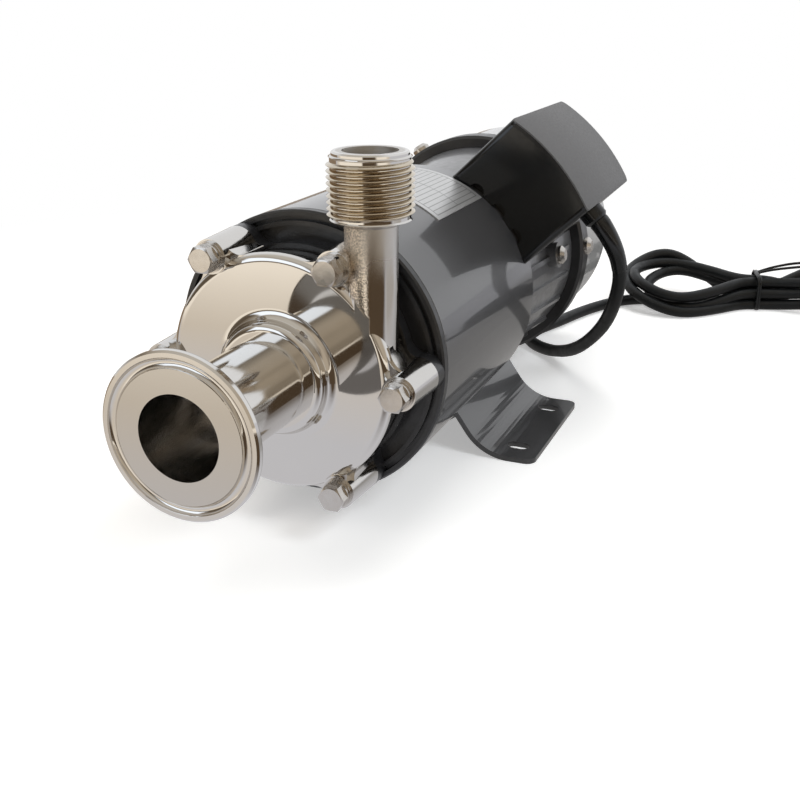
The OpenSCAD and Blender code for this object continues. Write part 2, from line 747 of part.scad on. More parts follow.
module bracket() {
    rim_in = sleeve_r - rim_band;
    dish = bracket_len - 1.8;
    lip = 1.5;
    rim_face = 3;
    bevel = 0.6;
    color(black) difference() {
        union() {
            spun(y_mate) polygon([[0, 0], [neck_r, 0], [neck_r, dish], [rim_in - 2 * lip, dish],
                [rim_in - 2 * lip, dish - lip], [rim_in - lip, dish - lip], [rim_in - lip, dish + 0.4],
                [rim_in, dish + 0.4], [rim_in, bracket_len - rim_face],
                [sleeve_r - bevel, bracket_len - rim_face],
                [sleeve_r, bracket_len - rim_face + bevel], [sleeve_r, bracket_len],
                [sleeve_in - seat, bracket_len], [sleeve_in - seat, bracket_len + spigot_len],
                [hub_r, bracket_len + spigot_len], [hub_r, y_bearing_end - y_mate],
                [0, y_bearing_end - y_mate]]);
            each_bolt() {
                bolt_rod(y_mate, y_mate + dish + past, lug_rear_d, lug_rear_d);
                lug_fillets(y_mate, y_mate + dish + past, lug_rear_d, neck_r);
            }
        }
        rod(y_mate - past, y_plate_back, register_d);
        rod(y_mate, y_cup + 1, cup_d + 1);
        rod(y_mate, y_bearing_end + past, shaft_d + 3);
        rod(y_bearing, y_bearing_end + past, bearing_d + 2 * seat);
        each_bolt() bolt_rod(y_mate - past, bolt_end + screw_clear, tapped_d, tapped_d);
        // The rear of the web is hollow between the hub and the spigot
        spun(y_sleeve + 3.5) translate([hub_r, 0]) square([sleeve_in - 4 - hub_r, spigot_len]);
    }
}

module motor_sleeve() {
    edge = 0.5;
    color(gray) spun(y_sleeve) polygon([[sleeve_in, 0], [sleeve_r - edge, 0], [sleeve_r, edge],
        [sleeve_r, sleeve_len - edge], [sleeve_r - edge, sleeve_len], [sleeve_in, sleeve_len]]);
}

// The sheet runs from the saddle under the sleeve over a fold into the leg, the bend and the base
module foot_profile() {
    out = [sin(leg_angle), cos(leg_angle)];
    down = [cos(leg_angle), -sin(leg_angle)];
    under = leg_root - foot_t * out;
    saddle_r = saddle_in + foot_t;
    slip = under * down;
    fold = under + (sqrt(slip * slip - under * under + saddle_r * saddle_r) - slip) * down;
    fold_angle = atan2(-fold[1], fold[0]);
    root_angle = atan2(-leg_root[1], leg_root[0]);
    bend = leg_corner + [bend_tangent, foot_bend];
    outer_bend = foot_bend + foot_t;
    reach = foot_width / 2;
    steps = 12;
    polygon(concat(
        [for (t = [0 : steps])
            let (a = mix(saddle_end, root_angle, t / steps)) saddle_in * [cos(a), -sin(a)]],
        [for (t = [0 : steps]) let (a = mix(leg_angle, 0, t / steps)) bend - foot_bend * [sin(a), cos(a)]],
        [[reach, base_top], [reach, base_top - foot_t]],
        [for (t = [0 : steps]) let (a = mix(0, leg_angle, t / steps)) bend - outer_bend * [sin(a), cos(a)]],
        [for (t = [0 : steps])
            let (a = mix(fold_angle, saddle_end, t / steps)) saddle_r * [cos(a), -sin(a)]]));
}

module slot_outline() {
    half = (foot_slot_len - foot_slot_w) / 2;
    square([2 * half, foot_slot_w], center = true);
    for (x = [-half, half]) translate([x, 0]) circle(d = foot_slot_w);
}

module foot() {
    reach = foot_width / 2;
    difference() {
        slab(-foot_len / 2, foot_len / 2) foot_profile();
        for (y = [-1, 1]) {
            translate([reach - slot_edge, y * slot_span_y / 2, -past])
                linear_extrude(height = foot_t + 2 * past) slot_outline();
            translate([reach - foot_corner, y * (foot_len / 2 - foot_corner), -past])
                linear_extrude(height = foot_t + 2 * past) difference() {
                    translate([0, y < 0 ? -foot_corner - past : 0]) square(foot_corner + past);
                    circle(r = foot_corner);
                }
        }
    }
}

module right_foot() {
    color(gray) foot();
}

module left_foot() {
    color(gray) mirror([1, 0, 0]) foot();
}

module stator_core() {
    color([0.5, 0.5, 0.5]) difference() {
        rod(y_core, y_core_end, 2 * (sleeve_in - seat));
        rod(y_core - past, y_core_end + past, rotor_d + 2 * air_gap);
    }
}

module windings() {
    inner = rotor_d / 2 + air_gap + 3;
    round = 2;
    outer = shield_front_r - shield_wall - round;
    color([0.55, 0.28, 0.12]) for (y = [y_core - winding_len, y_core_end]) spun(y)
        translate([(inner + outer) / 2, winding_len / 2]) rounded(outer - inner, winding_len, round);
}

module rotor_core() {
    color([0.55, 0.55, 0.55]) difference() {
        rod(y_core, y_core_end, rotor_d);
        rod(y_core - past, y_core_end + past, rotor_shaft_d);
    }
}

module shaft() {
    color(steel) {
        rod(nut_front + 3, y_imp_back, impeller_shaft_d);
        rod(y_imp_back, y_rear_bearing_end, shaft_d);
        rod(y_bearing_end, y_rear_bearing, rotor_shaft_d);
        rod(y_rear_bearing_end, y_shaft_end, fan_shaft_d);
    }
}

module bearing_at() {
    for (y = [y_bearing, y_rear_bearing]) translate([0, y, 0]) children();
}

module ball_track() {
    spun(bearing_w / 2) translate([pitch_r, 0]) circle(d = ball_d + 2 * groove_clear);
}

module bearing_outers() {
    color(steel) bearing_at() difference() {
        rod(0, bearing_w, bearing_d);
        rod(-past, bearing_w + past, 2 * pitch_r + ball_d * 0.5);
        ball_track();
    }
}

module bearing_inners() {
    color(steel) bearing_at() difference() {
        rod(0, bearing_w, 2 * pitch_r - ball_d * 0.5);
        rod(-past, bearing_w + past, shaft_d);
        ball_track();
    }
}

module bearing_balls() {
    color(steel) bearing_at() for (i = [0 : ball_count - 1]) around(360 / ball_count * i)
        translate([pitch_r, bearing_w / 2, 0]) sphere(d = ball_d);
}

// A ring beside the balls carries a prong between each pair of them
module bearing_cages() {
    side = (bearing_w + ball_d) / 2 + groove_clear;
    color([0.7, 0.55, 0.3]) bearing_at() {
        difference() {
            rod(side, side + cage_side, 2 * pitch_r + cage_t);
            rod(-past, bearing_w + past, 2 * pitch_r - cage_t);
        }
        for (i = [0 : ball_count - 1]) around(360 / ball_count * (i + 0.5))
            translate([pitch_r - cage_t / 3, bearing_w - side, -prong_w / 2])
                cube([cage_t * 2 / 3, 2 * side - bearing_w + cage_side / 2, prong_w]);
    }
}

module wave_washer() {
    color(steel) difference() {
        rod(y_rear_bearing_end, y_rear_bearing_end + wave_t, bearing_d - 1);
        rod(y_rear_bearing_end - past, y_rear_bearing_end + wave_t + past, bearing_d - 7);
    }
}

module rear_shield() {
    f = shield_front_r;
    r = shield_wide_r;
    l = shield_len;
    flange_y = 2;
    collar_r = sleeve_r - 0.6;
    shoulder = 4;
    inner_f = f - shield_wall;
    inner_r = r - shield_wall - 1;
    color(gray) difference() {
        union() {
            spun(y_sleeve_end) polygon([[inner_f, -spigot_len], [sleeve_in - seat, -spigot_len],
                [sleeve_in - seat, 0], [collar_r, 0], [collar_r, flange_y], [f, flange_y + 0.6],
                [r, l - shoulder], [rim_r, l], [rim_r, l + rim_len], [rim_r - shield_wall, l + rim_len],
                [rim_r - shield_wall, l], [0, l], [0, l - rear_web], [inner_r, l - rear_web],
                [inner_f, flange_y]]);
            rod(y_rear_bearing - past, y_shield_end, 2 * hub_r);
            for (i = [0 : rib_count - 1]) let (a = 360 / rib_count * (i + 0.5))
                if (sin(a) < sin(rib_reach)) around(a) translate([0, y_sleeve_end, -rib_w / 2])
                    linear_extrude(height = rib_w) polygon([[f - past, flange_y], [f + rib_h, flange_y + 0.4],
                        [r + rib_h, l - 2 * shoulder], [r - past, l - shoulder]]);
            // Pad under the terminal box
            difference() {
                intersection() {
                    around(box_angle) translate([f - 2 * shield_wall, pad_front, -pad_w / 2])
                        cube([sleeve_r, pad_back - pad_front, pad_w]);
                    rod(pad_front, pad_back, sleeve_d);
                }
                spun(y_sleeve_end) polygon([[0, 0], [inner_f, 0], [inner_f, flange_y],
                    [inner_r, l - rear_web], [0, l - rear_web]]);
            }
            for (a = shield_angles) around(a) translate([f - 2, y_shield_screw, 0]) rotate([0, 90, 0])
                cylinder(d = boss_screw_d, h = screw_boss_r - f + 2);
        }
        rod(y_rear_bearing - 2 * past, y_rear_bearing_end + wave_t, bearing_d + 2 * seat);
        rod(y_rear_bearing, y_shield_end + past, shaft_d + 3);
        for (a = shield_angles) around(a) translate([0, y_shield_screw, 0])
            radial_hole(screw_boss_r - screw_reach - past, screw_boss_r + past, 2 * seat);
        for (a = ring_angles) around(a) translate([0, y_ring_screw, 0])
            radial_hole(rim_r - ring_reach, rim_r + past, 2 * seat);
        for (y = box_screw_places) around(box_angle) translate([0, y, 0])
            radial_hole(f - past, sleeve_r + past, 2 * seat);
    }
}

module radial_hole(r0, r1, clear) {
    translate([r0, 0, 0]) rotate([0, 90, 0]) cylinder(d = screw_d + clear, h = r1 - r0);
}

module radial_screw(r, reach) {
    translate([r - reach, 0, 0]) rotate([0, 90, 0]) cylinder(d = screw_d, h = reach + past);
    translate([r, 0, 0]) rotate([0, 90, 0]) rotate_extrude() polygon([[0, 0], [screw_head_d / 2, 0],
        [screw_head_d / 2, screw_head_h * 0.5], [screw_head_d * 0.3, screw_head_h], [0, screw_head_h]]);
}

module shield_screws() {
    color(steel) for (a = shield_angles) around(a) translate([0, y_shield_screw, 0])
        radial_screw(screw_boss_r, screw_reach);
}

module cover_ring() {
    front = 0.3;
    edge = 1.2;
    color(black) difference() {
        spun(y_shield_end) polygon([[rim_r + seat, front], [ring_r - edge, front], [ring_r, front + edge],
            [ring_r, ring_w - edge], [ring_r - edge, ring_w], [cover_r + seat, ring_w],
            [cover_r + seat, ring_w - cover_lap], [rim_r + seat, ring_w - cover_lap]]);
        for (a = ring_angles) around(a) translate([0, y_ring_screw, 0])
            radial_hole(rim_r - past, ring_r + past, screw_clear);
    }
}

module ring_screws() {
    color(steel) for (a = ring_angles) around(a) translate([0, y_ring_screw, 0])
        radial_screw(ring_r, ring_t + ring_reach - screw_clear);
}

module fan_cover() {
    r = cover_r;
    lap = cover_lap - screw_clear;
    l = cover_len + lap;
    bend = cover_bend;
    color(gray) difference() {
        spun(y_ring_end - lap) difference() {
            union() {
                square([r - bend, l]);
                square([r, l - bend]);
                translate([r - bend, l - bend]) circle(r = bend);
            }
            translate([0, -past]) square([r - bend, l - cover_wall + past]);
            translate([0, -past]) square([r - cover_wall, l - bend + past]);
            translate([r - bend, l - bend]) circle(r = bend - cover_wall);
        }
        for (i = [0 : slot_count - 1]) around(360 / slot_count * i)
            translate([fan_shaft_d + 6, y_cover_end - bend, -slot_w / 2])
                cube([r - bend - fan_shaft_d - 7, bend + past, slot_w]);
    }
}

module fan() {
    hub = fan_shaft_d + 10;
    color(plastic) difference() {
        union() {
            rod(y_fan, y_fan + fan_len, hub);
            rod(y_fan, y_fan + 2, fan_d * 0.62);
            for (i = [0 : blade_count - 1]) around(360 / blade_count * i)
                translate([hub / 2 - 2, y_fan, -blade_t / 2])
                    cube([fan_d / 2 - hub / 2 + 2, fan_len, blade_t]);
        }
        rod(y_fan - past, y_shaft_end, fan_shaft_d);
    }
}

module box_block(low, high, inset) {
    translate([low, y_box_mid, 0]) rotate([90, 0, 90]) linear_extrude(height = high - low)
        rounded(box_len - 2 * inset, box_w - 2 * inset, max(box_corner - inset, 0.5));
}

module coaxial(r, margin) {
    translate([0, y_box - margin, 0]) rotate([-90, 0, 0])
        cylinder(r = r, h = box_len + 2 * margin, $fn = 128);
}

module terminal_box() {
    color(plastic) around(box_angle) difference() {
        intersection() {
            box_block(0.7 * sleeve_r, part_r + past, 0);
            coaxial(part_r, 0.5);
        }
        coaxial(box_seat_r, past);
        difference() {
            box_block(0.7 * sleeve_r, part_r + 2 * past, box_wall);
            coaxial(box_seat_r + box_floor, past);
        }
        for (i = [-1 : 1]) rotate([0, -i * notch_step, 0]) translate([box_seat_r, y_box - past, 0])
            rotate([-90, 0, 0]) cylinder(r = notch_r, h = box_wall + 2 * past);
        for (y = box_screw_places) translate([0, y, 0])
            radial_hole(box_seat_r - past, box_seat_r + box_floor + 2 * past, screw_clear);
        translate([gland_rad, y_box_mid, -box_w / 2 - past])
            cylinder(d = gland_d - 2 * gland_step + 2 * seat, h = box_wall + 2 * past);
    }
}

module box_screws() {
    color(steel) around(box_angle) for (y = box_screw_places) translate([0, y, 0])
        radial_screw(box_seat_r + box_floor + seat, box_floor + screw_reach + seat);
}

module box_lid() {
    lip = 1.2;
    lid_clear = 0.15;
    color([0.43, 0.42, 0.43]) around(box_angle) difference() {
        union() {
            intersection() {
                box_block(0.7 * sleeve_r, lid_r + past, 0);
                difference() {
                    coaxial(lid_r, 0.5);
                    coaxial(part_r, past);
                }
            }
            intersection() {
                box_block(0.7 * sleeve_r, lid_r + past, box_wall + lid_clear);
                difference() {
                    coaxial(lid_r - lid_wall / 2, 0.5);
                    coaxial(part_r - lip, past);
                }
            }
        }
        intersection() {
            box_block(0.6 * sleeve_r, lid_r + past, box_wall + lid_clear + lid_wall);
            coaxial(lid_r - lid_wall, past);
        }
    }
}

// A block that stands on the box's curved floor
module box_content(y, z, size) {
    color([0.85, 0.83, 0.78]) around(box_angle) difference() {
        translate([sleeve_r, y, z]) cube([size[0] + box_floor, size[1], size[2]]);
        coaxial(box_seat_r + box_floor, past);
        children();
    }
}

module terminal_block() {
    front = y_box + box_wall + 4;
    pitch = block_w * 0.32;
    way = pitch - 2.5;
    box_content(front, -block_w / 2, [block_h, block_len, block_w]) {
        for (i = [-1 : 1])
            translate([box_seat_r + box_floor + block_h / 2, front + block_len * 0.3, pitch * i - way / 2])
                cube([block_h, block_len * 0.4, way]);
    }
}

module capacitor() {
    box_content(y_box_mid - cap_len * 0.22, screw_head_d / 2 + bolt_clear, [cap_h, cap_len, cap_w]);
}

module cable_gland() {
    color(plastic) around(box_angle) translate([gland_rad, y_box_mid, -box_w / 2]) {
        r = gland_d / 2;
        neck = r - gland_step;
        nut = r + 0.2;
        inside = gland_len + box_wall;
        translate([0, 0, -gland_len]) rotate_extrude() polygon([[0, 0], [r - 1.2, 0], [r, 1.5],
            [r, gland_len], [neck, gland_len], [neck, inside], [nut, inside + seat], [nut, inside + 2],
            [0, inside + 2]]);
    }
}

module power_cord() {
    color(plastic) swept(cord_route, cord_d, 10, 3);
}

module hank_place() {
    translate([hank_pos[0], hank_pos[1], 0]) rotate(hank_turn) children();
}

// Two round ends run together into a straight waist under the tie
module cord_hank() {
    color(plastic) hank_place() {
        translate([-tie_w, -waist_w / 2, 0]) cube([2 * tie_w, waist_w, waist_h]);
        for (end = [[-1, hank_w / 2], [1, hank_narrow / 2]]) {
            centre = end[0] * (hank_len / 2 - end[1]);
            half = end[1] - past;
            translate([centre, 0, 0]) cylinder(r = end[1], h = hank_h);
            linear_extrude(height = waist_h) polygon([[end[0] * tie_w / 2, -waist_w / 2],
                [end[0] * tie_w / 2, waist_w / 2], [centre, half], [centre, -half]]);
        }
    }
}

module cord_tie() {
    t = 1.2;
    color(plastic) hank_place() difference() {
        translate([-tie_w / 2, -waist_w / 2 - t, 0]) cube([tie_w, waist_w + 2 * t, waist_h + t]);
        translate([-tie_w, -waist_w / 2, -past]) cube([2 * tie_w, waist_w, waist_h + past]);
    }
}

module cord_tail() {
    color(plastic) swept(tail_route, cord_d, 10, 3);
}

module plug_place() {
    translate(plug_pos) rotate(plug_turn) children();
}

module plug_body() {
    color(plastic) plug_place() rotate([90, 0, 90]) {
        linear_extrude(height = 10) circle(d = 12);
        translate([0, 0, 10]) linear_extrude(height = plug_len - 10) rounded(plug_w, plug_h, 6);
    }
}

module plug_pins() {
    color([0.8, 0.7, 0.4]) plug_place() translate([plug_len, 0, 0]) {
        translate([0, 0, -6]) translate([0, -3.2, 0]) cube([20, 6.4, 1.6]);
        for (s = [-1, 1]) translate([0, s * 7.9 - 0.8, 0]) cube([18, 1.6, 6.4]);
    }
}

inlet_ferrule();
pump_casing();
casing_bolts();
spring_washers();
flat_washers();
back_plate();
casing_o_ring();
impeller();
impeller_nut();
seal_bellows();
seal_ring();
seal_seat();
bracket();
motor_sleeve();
left_foot();
right_foot();
stator_core();
windings();
rotor_core();
shaft();
bearing_outers();
bearing_inners();
bearing_balls();
bearing_cages();
wave_washer();
rear_shield();
shield_screws();
cover_ring();
ring_screws();
fan_cover();
fan();
terminal_box();
box_screws();
box_lid();
terminal_block();
capacitor();
cable_gland();
power_cord();
cord_hank();
cord_tie();
cord_tail();
plug_body();
plug_pins();
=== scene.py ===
"""Looks of the sanitary centrifugal pump

Finishes, outlet thread, rating plate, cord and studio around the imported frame.
"""

import math

import bmesh
import bpy
from bpy.props import FloatProperty, FloatVectorProperty, IntProperty, PointerProperty
from mathutils import Matrix, Vector
from mathutils.kdtree import KDTree


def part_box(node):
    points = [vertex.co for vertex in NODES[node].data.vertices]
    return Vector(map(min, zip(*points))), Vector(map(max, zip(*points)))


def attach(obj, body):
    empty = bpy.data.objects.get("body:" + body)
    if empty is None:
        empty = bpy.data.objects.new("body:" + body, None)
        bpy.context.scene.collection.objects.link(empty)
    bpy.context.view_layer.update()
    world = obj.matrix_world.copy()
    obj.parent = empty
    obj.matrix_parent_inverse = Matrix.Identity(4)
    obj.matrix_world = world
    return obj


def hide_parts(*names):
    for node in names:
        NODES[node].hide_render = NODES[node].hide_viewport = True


bl_info = {
    "name": "Sanitary Pump Looks",
    "version": (1, 0, 0),
    "blender": (4, 5, 0),
    "location": "View3D > Sidebar > Pump",
    "description": "Finishes, thread, plate, cord and studio for a packed centrifugal pump",
    "category": "Object",
}

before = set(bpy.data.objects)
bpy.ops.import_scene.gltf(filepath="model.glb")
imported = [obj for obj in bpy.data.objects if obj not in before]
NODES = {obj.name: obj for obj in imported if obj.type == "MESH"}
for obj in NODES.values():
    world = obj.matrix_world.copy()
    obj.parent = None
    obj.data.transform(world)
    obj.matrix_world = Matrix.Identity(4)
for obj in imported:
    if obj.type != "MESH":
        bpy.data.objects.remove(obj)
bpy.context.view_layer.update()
MM = 0.001

# Places that the frame gives, in metres
SLEEVE_LOW, SLEEVE_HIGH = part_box("motor_sleeve")
SLEEVE_R = (SLEEVE_HIGH.x - SLEEVE_LOW.x) / 2
SHAFT_Z = (SLEEVE_HIGH.z + SLEEVE_LOW.z) / 2
OUTLET_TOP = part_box("pump_casing")[1].z
FACE_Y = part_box("inlet_ferrule")[0].y

# Axes, radii and heights of the solids' features, in metres
OUTLET_X, OUTLET_Y = 0.030, -0.1097
INLET_R, TUBE_R, FACE_R = 0.0130, 0.0146, 0.0209
DISC_R, LID_R = 0.0391, 0.080
MOUTH_R, CAST_R, THREAD_R = 0.0103, 0.0101, 0.01322
THREAD_LOW, THREAD_HIGH = OUTLET_TOP - 0.0196, OUTLET_TOP - 0.0020

# Ends of the rating plate along the sleeve, in metres, and its edges about the shaft
PLATE_FRONT, PLATE_BACK = SLEEVE_LOW.y + 0.042, SLEEVE_LOW.y + 0.0885
PLATE_NEAR, PLATE_FAR = math.radians(53), math.radians(90)

# Meshes and curves
MERGE = 1e-6
PAINT_ANGLE = math.radians(35)
HARD_ANGLE = math.radians(40)
CURVE_STEPS, CORD_GAP, EASE_ROUNDS = 5, 2.0, 16

# The cord's route in millimetres, as in the solids: from the gland to the hank, then on to the plug
CORD_RUN = [
    (67.3, 33.0, 81.8), (70.7, 33.0, 78.1), (74, 34, 72.5), (76, 35.8, 66), (76.7, 39, 59), (74, 45, 46),
    (68, 56, 32), (60, 66, 21), (51, 76, 12), (41, 87, 6), (31, 96, 3), (21.5, 103.8, 3), (17.9, 110.7, 3),
    (16.7, 118.3, 3), (18, 126, 3), (25, 146, 3), (31, 166, 3), (37.5, 182, 3), (43.7, 193, 3),
    (50.5, 202, 3), (60.5, 207.3, 3),
]
CORD_TAIL = [(200, 251, 3), (212, 257.5, 5), (224.5, 266.1, 10), (232.8, 271.5, 10)]
HANK_PLACE = Matrix.Translation((118, 225, 0)) @ Matrix.Rotation(math.radians(17.3), 4, "Z")

# The twist tie in the hank's frame, in millimetres
TIE_TURNS, TIE_STEPS = 2, 36
TIE_WIDE, TIE_HIGH, TIE_MIDDLE, TIE_LOW = 10.4, 9.7, 9.9, 0.9
TIE_PITCH, TIE_SQUARE = 1.1, 0.72
TIE_BOW = [
    (0.8, 1.2, 20.2), (9, 2.4, 22.6), (20, 3.6, 24.6), (30, 3.0, 25.4), (34, 0, 25.6), (30, -3.0, 25.2),
    (20, -3.4, 24.2), (9, -2.2, 22.4), (0.8, -1.0, 20.2),
]

# Lamps: name, place, aim, size, power and colour
LAMPS = (
    ("key", (-0.55, -0.75, 0.95), (0, -0.08, 0.06), 0.7, 4.0, (1.0, 0.96, 0.90)),
    ("side", (0.75, -0.30, 0.75), (0.02, -0.05, 0.06), 0.35, 4.0, (0.92, 0.96, 1.0)),
    ("top", (0.05, 0.25, 1.1), (0, 0.05, 0.05), 0.7, 5.0, (1.0, 0.99, 0.97)),
)

# Tones of the floor that only reflections see, and its patches: edges and softness in X and Y, and tone; the
# second patch is a painted shadow of the pump
FLOOR_HALF = 4.0
OPEN = FLOOR_HALF + 1
FLOOR_NEAR, FLOOR_MIDDLE, FLOOR_FAR = (0.70, 0.70, 0.74), (0.79, 0.70, 0.59), (1.14, 1.04, 0.90)
FLOOR_PATCHES = (
    ((-OPEN, -0.13, 0.03), (-0.19, OPEN, 0.03), (0.30, 0.22, 0.15)),
    # Painted shadow: the pump's shadow on the floor, as reflections see it
    ((-0.12, 0.22, 0.06), (-0.07, OPEN, 0.04), (0.38, 0.37, 0.36)),
    ((0.06, 0.60, 0.03), (-OPEN, -0.155, 0.035), (0.10, 0.068, 0.042)),
    ((0.26, 0.60, 0.04), (-0.13, 0.14, 0.03), (0.50, 0.47, 0.44)),
)

# Tones of the studio around the pump
WHITE = (1, 1, 1)
STUDIO_DARK, STUDIO_PALE, OVERHEAD = (0.13, 0.10, 0.07), (0.54, 0.46, 0.36), (0.62, 0.58, 0.52)
SOFT_BOX, BACKDROP, AMBIENT = (1.35, 1.45, 1.60), (0.92, 0.93, 0.95), (0.34, 0.33, 0.31)


class PumpFinish(bpy.types.PropertyGroup):
    """Colours of the visible finishes"""

    steel: FloatVectorProperty(
        name="Steel", description="Warm tone of the polished steel", subtype="COLOR",
        default=(0.72, 0.70, 0.67))
    steel_shade: FloatVectorProperty(
        name="Steel shade", description="Darker tone of the polished steel", subtype="COLOR",
        default=(0.57, 0.53, 0.48))
    # Painted reflection: the thread's warm tone stands in for the warm surroundings its flanks reflect
    thread: FloatVectorProperty(
        name="Thread", description="Warm tone of the cut thread", subtype="COLOR",
        default=(0.70, 0.62, 0.50))
    # Partly painted shade: the skin's darker warm tone on the pipe's left side also stands in for shade
    cast_skin_and_shade: FloatVectorProperty(
        name="Cast skin", description="Tone of the outlet's unpolished skin", subtype="COLOR",
        default=(0.80, 0.71, 0.60))
    gray_paint: FloatVectorProperty(
        name="Gray paint", description="Gloss paint of the motor", subtype="COLOR",
        default=(0.046, 0.046, 0.048))
    cover_paint: FloatVectorProperty(
        name="Cover paint", description="Gloss paint of the fan cover", subtype="COLOR",
        default=(0.40, 0.40, 0.40))
    black_paint: FloatVectorProperty(
        name="Black paint", description="Satin paint of the bracket and the ring", subtype="COLOR",
        default=(0.012, 0.012, 0.013))
    # Painted light: this gray stands in for the light on the lid's black outer face
    lid: FloatVectorProperty(
        name="Lid", description="Moulded plastic of the box's lid", subtype="COLOR",
        default=(0.096, 0.095, 0.097))
    plastic: FloatVectorProperty(
        name="Black plastic", description="Moulded plastic of the box", subtype="COLOR",
        default=(0.0050, 0.0058, 0.0064))
    cord: FloatVectorProperty(
        name="Cord", description="Sheath of the power cord", subtype="COLOR",
        default=(0.0045, 0.0055, 0.0062))
    plate: FloatVectorProperty(
        name="Plate", description="Bare metal of the rating plate", subtype="COLOR",
        default=(0.66, 0.66, 0.66))


class PumpSizes(bpy.types.PropertyGroup):
    """Sizes of the pieces that the looks add"""

    thread_pitch: FloatProperty(
        name="Thread pitch", description="Pitch of the outlet's pipe thread", subtype="DISTANCE",
        default=1.814 * MM)
    thread_depth: FloatProperty(
        name="Thread depth", description="Depth of the outlet's pipe thread", subtype="DISTANCE",
        default=1.16 * MM)
    turn_steps: IntProperty(
        name="Smoothness", description="Steps in each turn of the thread", default=72)
    cord_d: FloatProperty(
        name="Cord diameter", description="Diameter of the power cord", subtype="DISTANCE",
        default=6 * MM)
    relief_d: FloatProperty(
        name="Relief diameter", description="Wide end of the gland's bend relief", subtype="DISTANCE",
        default=8.6 * MM)
    relief_len: FloatProperty(
        name="Relief length", description="Length of the gland's bend relief", subtype="DISTANCE",
        default=24 * MM)
    tie_d: FloatProperty(
        name="Tie wire", description="Diameter of the coated tie wire", subtype="DISTANCE",
        default=1.5 * MM)
    plate_t: FloatProperty(
        name="Plate thickness", description="Thickness of the rating plate", subtype="DISTANCE",
        default=0.35 * MM)
    edge: FloatProperty(
        name="Edge", description="Rounding of painted and moulded edges", subtype="DISTANCE",
        default=0.5 * MM)


class PumpView(bpy.types.PropertyGroup):
    """Camera of the main picture"""

    place: FloatVectorProperty(
        name="Place", description="Place of the camera", subtype="TRANSLATION",
        default=(0.16056, -0.39886, 0.17101))
    azimuth: FloatProperty(
        name="Azimuth", description="Turn of the camera about the vertical", subtype="ANGLE",
        default=math.radians(22.783))
    elevation: FloatProperty(
        name="Elevation", description="Downward tilt of the camera", subtype="ANGLE",
        default=math.radians(21.031))
    roll: FloatProperty(
        name="Roll", description="Turn of the picture", subtype="ANGLE", default=math.radians(-0.214))
    lens: FloatProperty(
        name="Lens", description="Focal length on a 36 mm sensor", subtype="DISTANCE_CAMERA",
        default=48.27)


class Nodes:
    """Short calls that make the nodes of one tree"""

    def __init__(self, tree, coords):
        self.tree = tree
        self.coords = tree.nodes.new("ShaderNodeTexCoord").outputs[coords]

    def node(self, kind, links=(), **settings):
        """One node, with each input linked or set"""
        made = self.tree.nodes.new(kind)
        for key, value in settings.items():
            setattr(made, key, value)
        for socket, source in dict(links).items():
            self.join(made.inputs[socket], source)
        return made

    def join(self, socket, source):
        """Links a socket to another one or sets its value"""
        if isinstance(source, bpy.types.NodeSocket):
            self.tree.links.new(source, socket)
        else:
            socket.default_value = source

    def noise(self, scale, detail=3.0, stretch=None):
        """Noise on the tree's coordinates"""
        vector = self.coords
        if stretch:
            vector = self.node("ShaderNodeMapping", {"Vector": vector, "Scale": stretch}).outputs[0]
        links = {"Vector": vector, "Scale": scale, "Detail": detail}
        return self.node("ShaderNodeTexNoise", links).outputs["Fac"]

    def math(self, operation, a, b=0.5):
        """One operation on two values"""
        return self.node("ShaderNodeMath", {0: a, 1: b}, operation=operation).outputs[0]

    def spread(self, value, low, high, to_low=0.0, to_high=1.0):
        """A value between low and high, taken to another range"""
        links = {"Value": value, "From Min": low, "From Max": high, "To Min": to_low, "To Max": to_high}
        return self.node("ShaderNodeMapRange", links, clamp=True).outputs[0]

    def mix(self, factor, a, b):
        """A colour between two others"""
        made = self.node("ShaderNodeMix", data_type="RGBA")
        self.join(made.inputs[0], factor)
        for socket, source in ((made.inputs[6], a), (made.inputs[7], b)):
            self.join(socket, source if isinstance(source, bpy.types.NodeSocket) else (*source, 1))
        return made.outputs[2]

    def parts(self):
        """X, Y and Z of the tree's coordinates"""
        return self.node("ShaderNodeSeparateXYZ", {0: self.coords}).outputs

    def length(self, a, b):
        """Length of a vector in a plane"""
        squares = self.math("ADD", self.math("MULTIPLY", a, a), self.math("MULTIPLY", b, b))
        return self.math("SQRT", squares)

    def both(self, first, *masks):
        """Where all masks hold"""
        for mask in masks:
            first = self.math("MULTIPLY", first, mask)
        return first

    def past(self, value, edge, soft):
        """1 above an edge and 0 below it"""
        return self.spread(value, edge - soft, edge + soft)

    def short(self, value, edge, soft):
        """1 below an edge and 0 above it"""
        return self.spread(value, edge + soft, edge - soft)

    def between(self, value, low, high, soft):
        """1 between two edges and 0 beyond them"""
        return self.both(self.past(value, low, soft), self.short(value, high, soft))


class Finish(Nodes):
    """A material, read in object coordinates"""

    def __init__(self, name, **values):
        self.material = bpy.data.materials.new(name)
        self.material.use_nodes = True
        super().__init__(self.material.node_tree, "Object")
        self.shader = self.tree.nodes["Principled BSDF"]
        for key, value in values.items():
            socket = self.shader.inputs[key.replace("_", " ").title().replace("Ior", "IOR")]
            socket.default_value = (*value, 1) if isinstance(value, tuple) else value

    def feed(self, socket, source):
        """Links a socket of the shader"""
        self.tree.links.new(source, self.shader.inputs[socket])

    def mottle(self, socket, noise, low, high):
        """Lets a noise carry a socket from low to high"""
        self.feed(socket, self.spread(noise, 0.3, 0.7, low, high))

    def off_shaft(self):
        """Distance from the shaft's axis"""
        place = self.parts()
        return self.length(place["X"], self.math("SUBTRACT", place["Z"], SHAFT_Z))

    def bump(self, height, strength, distance, after=None):
        """A bumped normal, after another one where there is one"""
        links = {"Height": height, "Strength": strength, "Distance": distance}
        if after is not None:
            links["Normal"] = after
        return self.node("ShaderNodeBump", links).outputs[0]


def tinted(colour, share):
    """A colour made darker or lighter"""
    return tuple(c * share for c in colour)


